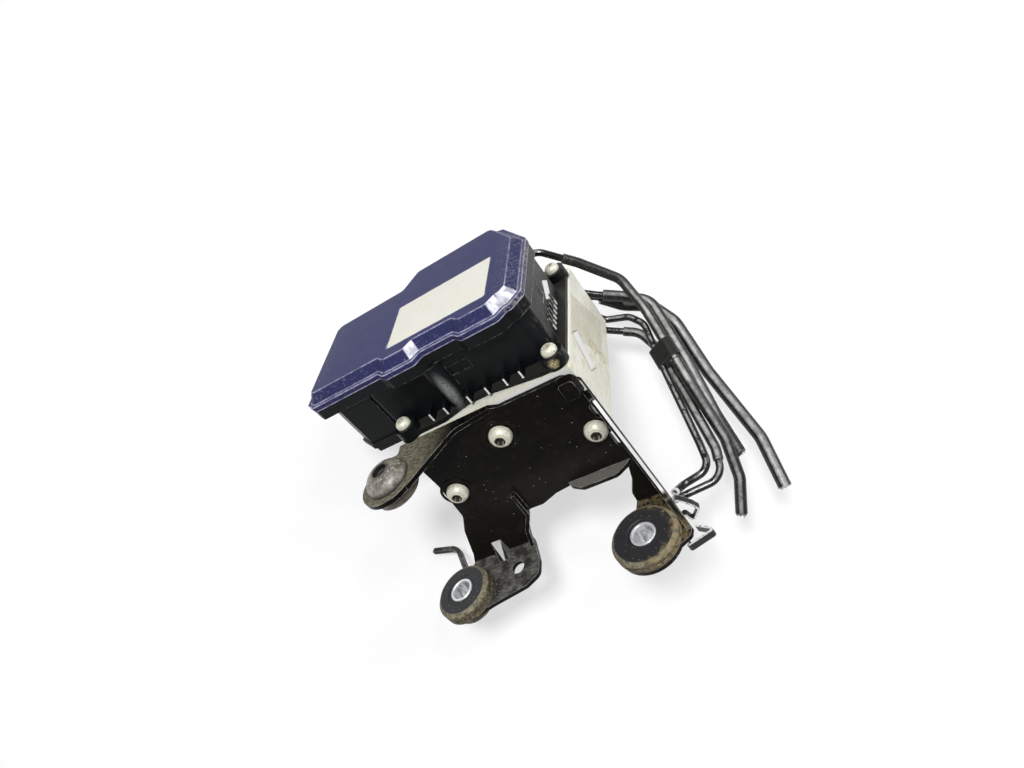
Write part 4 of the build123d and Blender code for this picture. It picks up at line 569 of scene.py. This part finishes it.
def pipe_coating():
    """Glossy black coating, dusty in patches, with a painted highlight along one side, small chips and bright
    cut ends.
    """
    material, tree, shader, where = new_finish("pipe_black_coating", (0.008, 0.008, 0.0075), 0.2, shine=0.55)
    colour = mixed(tree, noise(tree, where, 7.0, 4.0), (0.003, 0.003, 0.0028), (0.012, 0.012, 0.011))
    film = between(tree, noise(tree, where, 3.2, 6.0, 0.7), 0.52, 0.75)
    colour = mixed(tree, times(tree, film, 0.14), colour, (0.16, 0.155, 0.13))
    chips = times(tree, specks(tree, where, 4.2, 0.11), 0.5)
    colour = mixed(tree, chips, colour, (0.6, 0.58, 0.52))
    for end in PIPE_ENDS:
        cut = between(tree, reach_from(tree, where, end), 3.4, 2.9)
        colour = mixed(tree, times(tree, cut, 0.9), colour, (0.85, 0.85, 0.84))
    patchy = between(tree, noise(tree, where, 4.0, 5.0), 0.36, 0.56)
    # Painted highlight: a pale band along the side of each pipe that faces the light.
    painted_side_highlight = times(tree, facing(tree, PIPE_HIGHLIGHT_SIDE, 0.9, 0.99), patchy)
    colour = mixed(tree, times(tree, painted_side_highlight, 0.6), colour, (0.55, 0.55, 0.54))
    wire(tree, shader.inputs["Base Color"], colour)
    wire(tree, shader.inputs["Roughness"], blended(tree, film, 0.14, 0.42))
    raise_surface(tree, shader, noise(tree, where, 1.4, 4.0), 0.3, 0.06)
    return material


def sleeve_rubber():
    """Protective hose over the tubes, satin black and dusty, with a painted highlight along one side."""
    material, tree, shader, where = new_finish("pipe_sleeve_rubber", (0.01, 0.01, 0.0095), 0.4, shine=0.4)
    colour = mixed(tree, noise(tree, where, 6.0, 4.0), (0.006, 0.006, 0.0055), (0.022, 0.0215, 0.02))
    film = between(tree, noise(tree, where, 2.6, 6.0, 0.72), 0.5, 0.72)
    colour = mixed(tree, times(tree, film, 0.22), colour, (0.19, 0.185, 0.165))
    pale_marks = times(tree, edges(tree, 0.5, 0.02, 0.2), 0.6)
    colour = mixed(tree, pale_marks, colour, (0.5, 0.49, 0.46))
    patchy = blended(tree, between(tree, noise(tree, where, 5.0, 5.0, 0.6), 0.36, 0.6), 0.5, 1.0)
    # Painted highlight: a pale band along the side of each hose that faces the light.
    painted_side_highlight = times(tree, facing(tree, PIPE_HIGHLIGHT_SIDE, 0.84, 0.985), patchy)
    colour = mixed(tree, times(tree, painted_side_highlight, 0.75), colour, (0.55, 0.545, 0.53))
    wire(tree, shader.inputs["Base Color"], colour)
    wire(tree, shader.inputs["Roughness"], blended(tree, film, 0.26, 0.6))
    raise_surface(tree, shader, noise(tree, where, 1.2, 4.0, 0.65), 0.5, 0.1)
    return material


def torn_fibre():
    """Pale cord and rag showing where the hoses were cut through."""
    material, tree, shader, where = new_finish("torn_sleeve_fibre", (0.7, 0.69, 0.66), 0.8)
    crumb = noise(tree, where, 0.8, 5.0, 0.7)
    colour = mixed(tree, between(tree, crumb, 0.4, 0.6), (0.05, 0.05, 0.047), (0.86, 0.85, 0.82))
    wire(tree, shader.inputs["Base Color"], colour)
    wire(tree, shader.inputs["Roughness"], blended(tree, crumb, 0.6, 0.95))
    raise_surface(tree, shader, crumb, 0.6, 0.15)
    return material


def clip_plastic():
    """The bundle clip's own dull black plastic."""
    material, tree, shader, where = new_finish("pipe_clip_plastic", (0.02, 0.02, 0.019), 0.45, shine=0.25)
    colour = mixed(tree, noise(tree, where, 4.0, 4.0), (0.007, 0.007, 0.0065), (0.024, 0.023, 0.021))
    pale_marks = times(tree, edges(tree, 0.6, 0.02, 0.2), 0.4)
    colour = mixed(tree, pale_marks, colour, (0.35, 0.34, 0.31))
    wire(tree, shader.inputs["Base Color"], colour)
    raise_surface(tree, shader, noise(tree, where, 0.9, 3.0), 0.3, 0.06)
    return material


def can_steel():
    """The motor can's drawn steel under thin grey zinc, rusting in places."""
    material, tree, shader, where = new_finish("motor_can_steel", (0.5, 0.5, 0.48), 0.4, 0.85)
    drawn = noise(tree, where, 9.0, 4.0, 0.6, (1.0, 1.0, 0.25))
    colour = mixed(tree, drawn, (0.4, 0.4, 0.37), (0.6, 0.6, 0.57))
    rust = between(tree, noise(tree, where, 4.5, 6.0, 0.7), 0.56, 0.7)
    colour = mixed(tree, times(tree, rust, 0.6), colour, (0.22, 0.12, 0.045))
    wire(tree, shader.inputs["Base Color"], colour)
    wire(tree, shader.inputs["Roughness"], blended(tree, rust, 0.34, 0.75))
    wire(tree, shader.inputs["Metallic"], blended(tree, rust, 0.9, 0.2))
    raise_surface(tree, shader, noise(tree, where, 1.5, 3.0), 0.2, 0.06)
    return material


def plain_grain(name, first, second, roughness, metallic=0.0, feature=3.0):
    """A two-tone finish for the pieces inside and the small bought parts."""
    material, tree, shader, where = new_finish(name, first, roughness, metallic)
    cloud = noise(tree, where, feature, 4.0)
    wire(tree, shader.inputs["Base Color"], mixed(tree, cloud, first, second))
    wire(tree, shader.inputs["Roughness"], blended(tree, cloud, max(roughness - 0.08, 0.05), roughness + 0.1))
    raise_surface(tree, shader, noise(tree, where, feature * 0.3, 3.0), 0.2, 0.04)
    return material


def label_paper(name, fresh, aged, soiling):
    """Label film, yellowed in places and finely soiled."""
    material, tree, shader, where = new_finish(name, fresh, 0.5, shine=0.3)
    colour = mixed(tree, noise(tree, where, 14.0, 4.0), fresh, aged)
    soil = times(tree, between(tree, noise(tree, where, 2.0, 6.0, 0.75), 0.54, 0.72), soiling)
    colour = mixed(tree, soil, colour, (0.42, 0.38, 0.29))
    dots = times(tree, specks(tree, where, 3.4, 0.1), soiling)
    colour = mixed(tree, dots, colour, (0.2, 0.18, 0.15))
    wire(tree, shader.inputs["Base Color"], colour)
    wire(tree, shader.inputs["Roughness"], blended(tree, soil, 0.42, 0.7))
    raise_surface(tree, shader, noise(tree, where, 5.0, 2.0), 0.15, 0.08)
    return material


def sticker_grey():
    """The bare data sticker on the block's end, pale grey film that has picked up olive dirt."""
    material, tree, shader, where = new_finish("end_sticker_film", (0.62, 0.62, 0.58), 0.5, shine=0.3)
    colour = mixed(tree, noise(tree, where, 10.0, 4.0), (0.82, 0.8, 0.7), (0.54, 0.52, 0.42))
    soil = between(tree, noise(tree, where, 2.6, 6.0, 0.74), 0.46, 0.64)
    colour = mixed(tree, times(tree, soil, 0.55), colour, (0.58, 0.54, 0.3))
    scuffs = between(tree, noise(tree, where, 1.2, 6.0, 0.75, (1.0, 0.5, 1.5)), 0.58, 0.68)
    colour = mixed(tree, times(tree, scuffs, 0.8), colour, (0.95, 0.95, 0.9))
    colour = ring_stains(tree, where, colour)
    wire(tree, shader.inputs["Base Color"], colour)
    wire(tree, shader.inputs["Roughness"], blended(tree, soil, 0.4, 0.7))
    raise_surface(tree, shader, noise(tree, where, 2.4, 4.0), 0.25, 0.05)
    return material


# ---------------------------------------------------------------- new pieces
def finished_piece(name, mesh_parts, material, body="module", smooth=None):
    """Turns a bmesh into a piece that rides on its body, with its place in its mesh."""
    bmesh.ops.recalc_face_normals(mesh_parts, faces=mesh_parts.faces)
    mesh = bpy.data.meshes.new(name)
    mesh_parts.to_mesh(mesh)
    mesh_parts.free()
    piece = bpy.data.objects.new(name, mesh)
    bpy.context.scene.collection.objects.link(piece)
    mesh.materials.append(material)
    if smooth is not None:
        mesh.shade_smooth()
        mesh.set_sharp_from_angle(angle=math.radians(smooth))
    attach(piece, body)


def rounded_sheet(corners, radius, thickness, normal):
    """A thin sheet on the given corners, its corners rounded and its edge given thickness."""
    sheet = bmesh.new()
    points = [sheet.verts.new([c * MM for c in corner]) for corner in corners]
    face = sheet.faces.new(points)
    bmesh.ops.bevel(
        sheet, geom=list(face.verts), offset=radius * MM, offset_type="OFFSET",
        segments=5, profile=0.5, affect="VERTICES", material=-1,
    )
    pushed = bmesh.ops.extrude_face_region(sheet, geom=list(sheet.faces))
    lifted = [part for part in pushed["geom"] if isinstance(part, bmesh.types.BMVert)]
    bmesh.ops.translate(sheet, verts=lifted, vec=Vector(normal) * thickness * MM)
    return sheet


def lid_label(material):
    """The bare label in the lid's recess."""
    across, deep = LABEL_SIZE
    corners = [
        (LABEL_CENTRE[0] + sx * across / 2, LABEL_CENTRE[1] + sy * deep / 2, RECESS_FLOOR + 0.02)
        for sx, sy in ((-1, -1), (1, -1), (1, 1), (-1, 1))
    ]
    sheet = rounded_sheet(corners, radius=1.2, thickness=0.12, normal=(0.0, 0.0, 1.0))
    finished_piece("lid_label", sheet, material)


def end_sticker(material):
    """The bare sticker, put on askew across the block's silver end."""
    corners = [(BLOCK_END + 0.02, y, z) for y, z in STICKER_CORNERS]
    sheet = rounded_sheet(corners, radius=0.8, thickness=0.1, normal=(1.0, 0.0, 0.0))
    finished_piece("end_sticker", sheet, material)


def small_labels(material, backing):
    """A white label on its backing over the sticker's corner, and another on the housing's end wall."""
    under = [(BLOCK_END + 0.13, y, z) for y, z in BACKING_CORNERS]
    sheet = rounded_sheet(under, radius=0.5, thickness=0.06, normal=(1.0, 0.0, 0.0))
    finished_piece("small_block_label_backing", sheet, backing)
    on_block = [(BLOCK_END + 0.2, y, z) for y, z in BLOCK_LABEL_CORNERS]
    sheet = rounded_sheet(on_block, radius=0.5, thickness=0.08, normal=(1.0, 0.0, 0.0))
    finished_piece("small_block_label", sheet, material)
    on_wall = [(HOUSING_END + 0.02, y, z) for y, z in HOUSING_LABEL_CORNERS]
    sheet = rounded_sheet(on_wall, radius=0.5, thickness=0.08, normal=(1.0, 0.0, 0.0))
    finished_piece("small_housing_label", sheet, material)


def flange_ribs(material):
    """The upright webs that stiffen the housing's flange, one over each low rib."""
    webs = bmesh.new()
    for x in FLANGE_RIBS:
        outline = [webs.verts.new((x * MM - WEB_WIDTH / 2 * MM, y * MM, z * MM)) for y, z in WEB_SIDE]
        face = webs.faces.new(outline)
        pushed = bmesh.ops.extrude_face_region(webs, geom=[face])
        moved = [part for part in pushed["geom"] if isinstance(part, bmesh.types.BMVert)]
        bmesh.ops.translate(webs, verts=moved, vec=(WEB_WIDTH * MM, 0.0, 0.0))
    bmesh.ops.bevel(
        webs, geom=list(webs.edges), offset=0.15 * MM, offset_type="OFFSET",
        segments=2, profile=0.5, affect="EDGES", material=-1,
    )
    finished_piece("flange_ribs", webs, material)


def torn_end(name, place, along, radius, reach, seed, material):
    """The ragged rim left where a hose was cut: a short wall whose tip tapers, drops and frays."""
    rng = random.Random(seed)
    rag = bmesh.new()
    turn = Vector(along).normalized().to_track_quat("Z", "Y").to_matrix().to_4x4()
    seat = Matrix.Translation(Vector(place) * MM) @ turn
    bmesh.ops.create_circle(rag, cap_ends=False, segments=26, radius=radius * MM, matrix=seat)
    pushed = bmesh.ops.extrude_edge_only(rag, edges=list(rag.edges))
    tip = [part for part in pushed["geom"] if isinstance(part, bmesh.types.BMVert)]
    axis = Vector(along).normalized()
    centre = Vector(place) * MM
    for vert in tip:
        outward = vert.co - centre
        vert.co += axis * rng.uniform(0.15, 1.0) ** 1.6 * reach * MM
        vert.co += outward.normalized() * rng.uniform(-0.9, 0.25) * MM
    bmesh.ops.recalc_face_normals(rag, faces=rag.faces)
    bmesh.ops.solidify(rag, geom=list(rag.faces), thickness=0.45 * MM)
    finished_piece(name, rag, material, smooth=50)


def torn_hoses(rubber, fibre):
    """Ragged ends on the three hoses that were cut with their pipes."""
    for name, place, along, radius in (
        ("upper_hose_rag", (165.2, 39.4, -52.6), (-8.0, -13.0, -16.0), 3.6),
        ("middle_hose_rag", (177.9, 69.6, -33.0), (3.5, -15.5, -24.5), 3.6),
        ("outer_hose_rag", (193.85, 53.4, -56.3), (2.0, -28.0, -20.0), 4.2),
    ):
        torn_end(name, place, along, radius, reach=2.6, seed=len(name), material=rubber)
        torn_end(
            name + "_fibre", place, along, radius - 0.55, reach=3.4, seed=len(name) + 7, material=fibre
        )


# ---------------------------------------------------------------- dressing the carried-over nodes
def dress(name, material):
    """Gives a CAD node its finish."""
    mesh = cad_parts[name].data
    mesh.materials.clear()
    mesh.materials.append(material)
    for polygon in mesh.polygons:
        polygon.material_index = 0


def dress_module():
    """Every carried-over piece with its finish."""
    bracket_axes = [(x, 0.0, z) for x, z in BRACKET_SCREWS]
    bracket_zinc = zinc_steel("bracket_screw_zinc", bracket_axes, along=1, socket=2.7, socket_shade=0.97)
    housing_axes = [(x, y, 0.0) for x, y in HOUSING_SCREWS]
    housing_zinc = zinc_steel("housing_screw_zinc", housing_axes, along=2, socket=1.7, socket_shade=0.35)
    plug_zinc = plain_grain("plug_grey_zinc", (0.5, 0.49, 0.42), (0.74, 0.73, 0.66), 0.4, 0.6, 2.2)
    dress("housing_lid", lid_plastic())
    black = housing_plastic()
    dress("control_housing", black)
    dress("valve_block", block_aluminium())
    dress("block_seal", plain_grain("seal_black_rubber", (0.012, 0.012, 0.012), (0.03, 0.03, 0.03), 0.7))
    dress("mounting_bracket", bracket_paint())
    dress("bracket_screws", bracket_zinc)
    dress("housing_screws", housing_zinc)
    for name in ("tube_nuts", "motor_screws", "pump_plugs", "accumulator_caps"):
        dress(name, plug_zinc)
    left_rubber = isolator_rubber(
        "left_isolator_rubber", LEFT_LOWER_AXIS, radius=18.75, top=9.6,
        face_colour=(0.014, 0.015, 0.016),
    )
    dress("left_lower_isolator", left_rubber)
    right_rubber = isolator_rubber(
        "right_isolator_rubber", RIGHT_LOWER_AXIS, radius=20.6, top=7.5,
        face_colour=(0.014, 0.0135, 0.015), rust=0.85,
    )
    dress("right_lower_isolator", right_rubber)
    dress("left_upper_isolator", dome_rubber())
    steel = sleeve_steel()
    for name in ("left_lower_sleeve", "right_lower_sleeve"):
        dress(name, steel)
    dull_steel = plain_grain("sleeve_dull_steel", (0.035, 0.032, 0.026), (0.13, 0.12, 0.1), 0.5, 0.3, 1.6)
    dress("left_upper_sleeve", dull_steel)
    dress("upper_spring_clip", spring_steel("upper_clip_steel", (0.0, -1.0, 0.0)))
    dress("lower_spring_clip", spring_steel("lower_clip_steel", (0.0, 0.0, 1.0)))
    dress("pipe_clip", clip_plastic())
    coating = pipe_coating()
    for name in ("upper_pipe", "middle_pipe", "outer_pipe", "bare_pipe", "lower_pipe"):
        dress(name, coating)
    hose = sleeve_rubber()
    for name in ("upper_pipe", "upper_pipe_end", "middle_pipe", "outer_pipe", "lower_pipe"):
        dress(name + "_sleeve", hose)
    dress("motor_can", can_steel())
    tinned = plain_grain("pin_tinned_brass", (0.66, 0.58, 0.36), (0.8, 0.74, 0.55), 0.28, 0.95, 2.0)
    dress("connector_pins", tinned)


def dress_inside():
    """The pieces hidden in the module, each with its own finish."""
    ground = plain_grain("ground_steel", (0.5, 0.5, 0.5), (0.66, 0.66, 0.66), 0.22, 0.95)
    for name in (
        "motor_shaft", "eccentric_bearing", "front_bearing",
        "rear_bearing", "pump_pistons", "solenoid_valves",
    ):
        dress(name, ground)
    for name, finish in (
        ("pump_cylinders", ("cylinder_steel", (0.42, 0.42, 0.42), (0.55, 0.55, 0.54), 0.3, 0.9)),
        ("solenoid_coils", ("coil_black_plastic", (0.02, 0.02, 0.022), (0.05, 0.05, 0.052), 0.5)),
        ("circuit_board", ("board_green_resin", (0.01, 0.1, 0.035), (0.02, 0.16, 0.06), 0.35)),
        ("armature_core", ("core_laminated_iron", (0.24, 0.24, 0.24), (0.36, 0.36, 0.35), 0.4, 0.85, 1.2)),
        ("armature_windings", ("winding_copper", (0.6, 0.25, 0.1), (0.78, 0.36, 0.16), 0.3, 0.9, 1.0)),
        ("commutator", ("commutator_copper", (0.68, 0.32, 0.16), (0.8, 0.42, 0.23), 0.28, 0.95, 1.5)),
        ("motor_brushes", ("brush_carbon", (0.03, 0.03, 0.03), (0.07, 0.07, 0.07), 0.6)),
        ("brush_holder", ("holder_grey_plastic", (0.06, 0.06, 0.06), (0.1, 0.1, 0.1), 0.5)),
        ("motor_magnets", ("magnet_dark_ferrite", (0.04, 0.04, 0.043), (0.08, 0.08, 0.082), 0.55)),
    ):
        dress(name, plain_grain(*finish))


# ---------------------------------------------------------------- stage, light and camera
def stage_floor():
    """A pale floor behind the module, seen only from its front."""
    normal = Vector(FLOOR_NORMAL).normalized()
    turn = normal.to_track_quat("Z", "Y").to_matrix().to_4x4()
    middle = Vector(FLOOR_MIDDLE)
    place = Matrix.Translation(middle + normal * (FLOOR_DROP * MM - normal.dot(middle)))
    sheet = bmesh.new()
    bmesh.ops.create_grid(sheet, x_segments=2, y_segments=2, size=6.0, matrix=place @ turn)
    mesh = bpy.data.meshes.new("studio_floor")
    sheet.to_mesh(mesh)
    sheet.free()
    floor = bpy.data.objects.new("studio_floor", mesh)
    bpy.context.scene.collection.objects.link(floor)
    material = bpy.data.materials.new("studio_floor_white")
    material.use_nodes = True
    tree = material.node_tree
    shader = tree.nodes["Principled BSDF"]
    shader.inputs["Base Color"].default_value = (0.5, 0.5, 0.5, 1.0)
    shader.inputs["Roughness"].default_value = 1.0
    shader.inputs["Specular IOR Level"].default_value = 0.0
    shader.inputs["Emission Color"].default_value = (1.0, 1.0, 1.0, 1.0)
    rays = tree.nodes.new("ShaderNodeLightPath")
    seen = either(tree, rays.outputs["Is Camera Ray"], rays.outputs["Is Glossy Ray"])
    glow = times(tree, seen, 0.5)
    tree.links.new(glow, shader.inputs["Emission Strength"])
    clear = tree.nodes.new("ShaderNodeBsdfTransparent")
    sides = tree.nodes.new("ShaderNodeMixShader")
    geometry = tree.nodes.new("ShaderNodeNewGeometry")
    tree.links.new(geometry.outputs["Backfacing"], sides.inputs["Fac"])
    tree.links.new(shader.outputs["BSDF"], sides.inputs[1])
    tree.links.new(clear.outputs["BSDF"], sides.inputs[2])
    tree.links.new(sides.outputs["Shader"], tree.nodes["Material Output"].inputs["Surface"])
    mesh.materials.append(material)


def soft_light(name, place, aim, width, power):
    """A square softbox."""
    data = bpy.data.lights.new(name, "AREA")
    data.shape = "SQUARE"
    data.size = width
    data.energy = power
    lamp = bpy.data.objects.new(name, data)
    bpy.context.scene.collection.objects.link(lamp)
    lamp.location = place
    lamp.rotation_mode = "QUATERNION"
    lamp.rotation_quaternion = (Vector(aim) - Vector(place)).to_track_quat("-Z", "Y")


def studio_light():
    """A key softbox over the floor, a small one beside it for glints, a fill on the right and a grey
    surround, which is white to the camera and to mirrored rays on the floor's side."""
    soft_light("key_softbox", (0.43, -0.64, 1.06), LIGHT_AIM, width=0.24, power=10.8)
    soft_light("glint_softbox", (0.9, -0.3, 0.94), LIGHT_AIM, width=0.12, power=1.2)
    soft_light("right_fill", (1.25, 0.05, 0.3), LIGHT_AIM, width=0.5, power=4.0)
    world = bpy.data.worlds.new("studio_surround")
    bpy.context.scene.world = world
    world.use_nodes = True
    tree = world.node_tree
    background = tree.nodes["Background"]
    rays = tree.nodes.new("ShaderNodeLightPath")
    toward = tree.nodes.new("ShaderNodeTexCoord").outputs["Generated"]
    dot = tree.nodes.new("ShaderNodeVectorMath")
    dot.operation = "DOT_PRODUCT"
    tree.links.new(toward, dot.inputs[0])
    dot.inputs[1].default_value = Vector(FLOOR_NORMAL).normalized()
    floor_side = between(tree, dot.outputs["Value"], 0.2, -0.1)
    mirrored = either(tree, rays.outputs["Is Glossy Ray"], rays.outputs["Is Transmission Ray"])
    mirrored = times(tree, mirrored, floor_side)
    seen = either(tree, rays.outputs["Is Camera Ray"], mirrored)
    tree.links.new(mixed(tree, seen, (0.36, 0.36, 0.37), (1.0, 1.0, 1.0)), background.inputs["Color"])
    background.inputs["Strength"].default_value = 1.0


def viewing_camera():
    """The camera, on the bracket's side of the module, above it and to its right."""
    right = Vector(CAMERA_RIGHT).normalized()
    back = Vector(CAMERA_BACK).normalized()
    up = back.cross(right).normalized()
    right = up.cross(back).normalized()
    data = bpy.data.cameras.new("viewing_camera")
    data.lens = CAMERA_LENS
    data.sensor_width = 36.0
    data.clip_start = 0.005
    camera = bpy.data.objects.new("viewing_camera", data)
    bpy.context.scene.collection.objects.link(camera)
    place = Matrix((right, up, back)).transposed().to_4x4()
    place.translation = CAMERA_PLACE
    camera.matrix_world = place
    bpy.context.scene.camera = camera


# ---------------------------------------------------------------- the whole module
dress_module()
dress_inside()
lid_label(label_paper("label_cream_film", (0.85, 0.84, 0.77), (0.76, 0.745, 0.64), 0.25))
end_sticker(sticker_grey())
small_labels(
    label_paper("small_label_film", (0.94, 0.94, 0.93), (0.82, 0.82, 0.8), 0.35),
    plain_grain("label_backing_grey", (0.3, 0.3, 0.26), (0.42, 0.41, 0.34), 0.6),
)
flange_ribs(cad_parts["control_housing"].data.materials[0])
torn_hoses(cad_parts["outer_pipe_sleeve"].data.materials[0], torn_fibre())
stage_floor()
studio_light()
viewing_camera()
bpy.context.scene.view_settings.view_transform = "Standard"
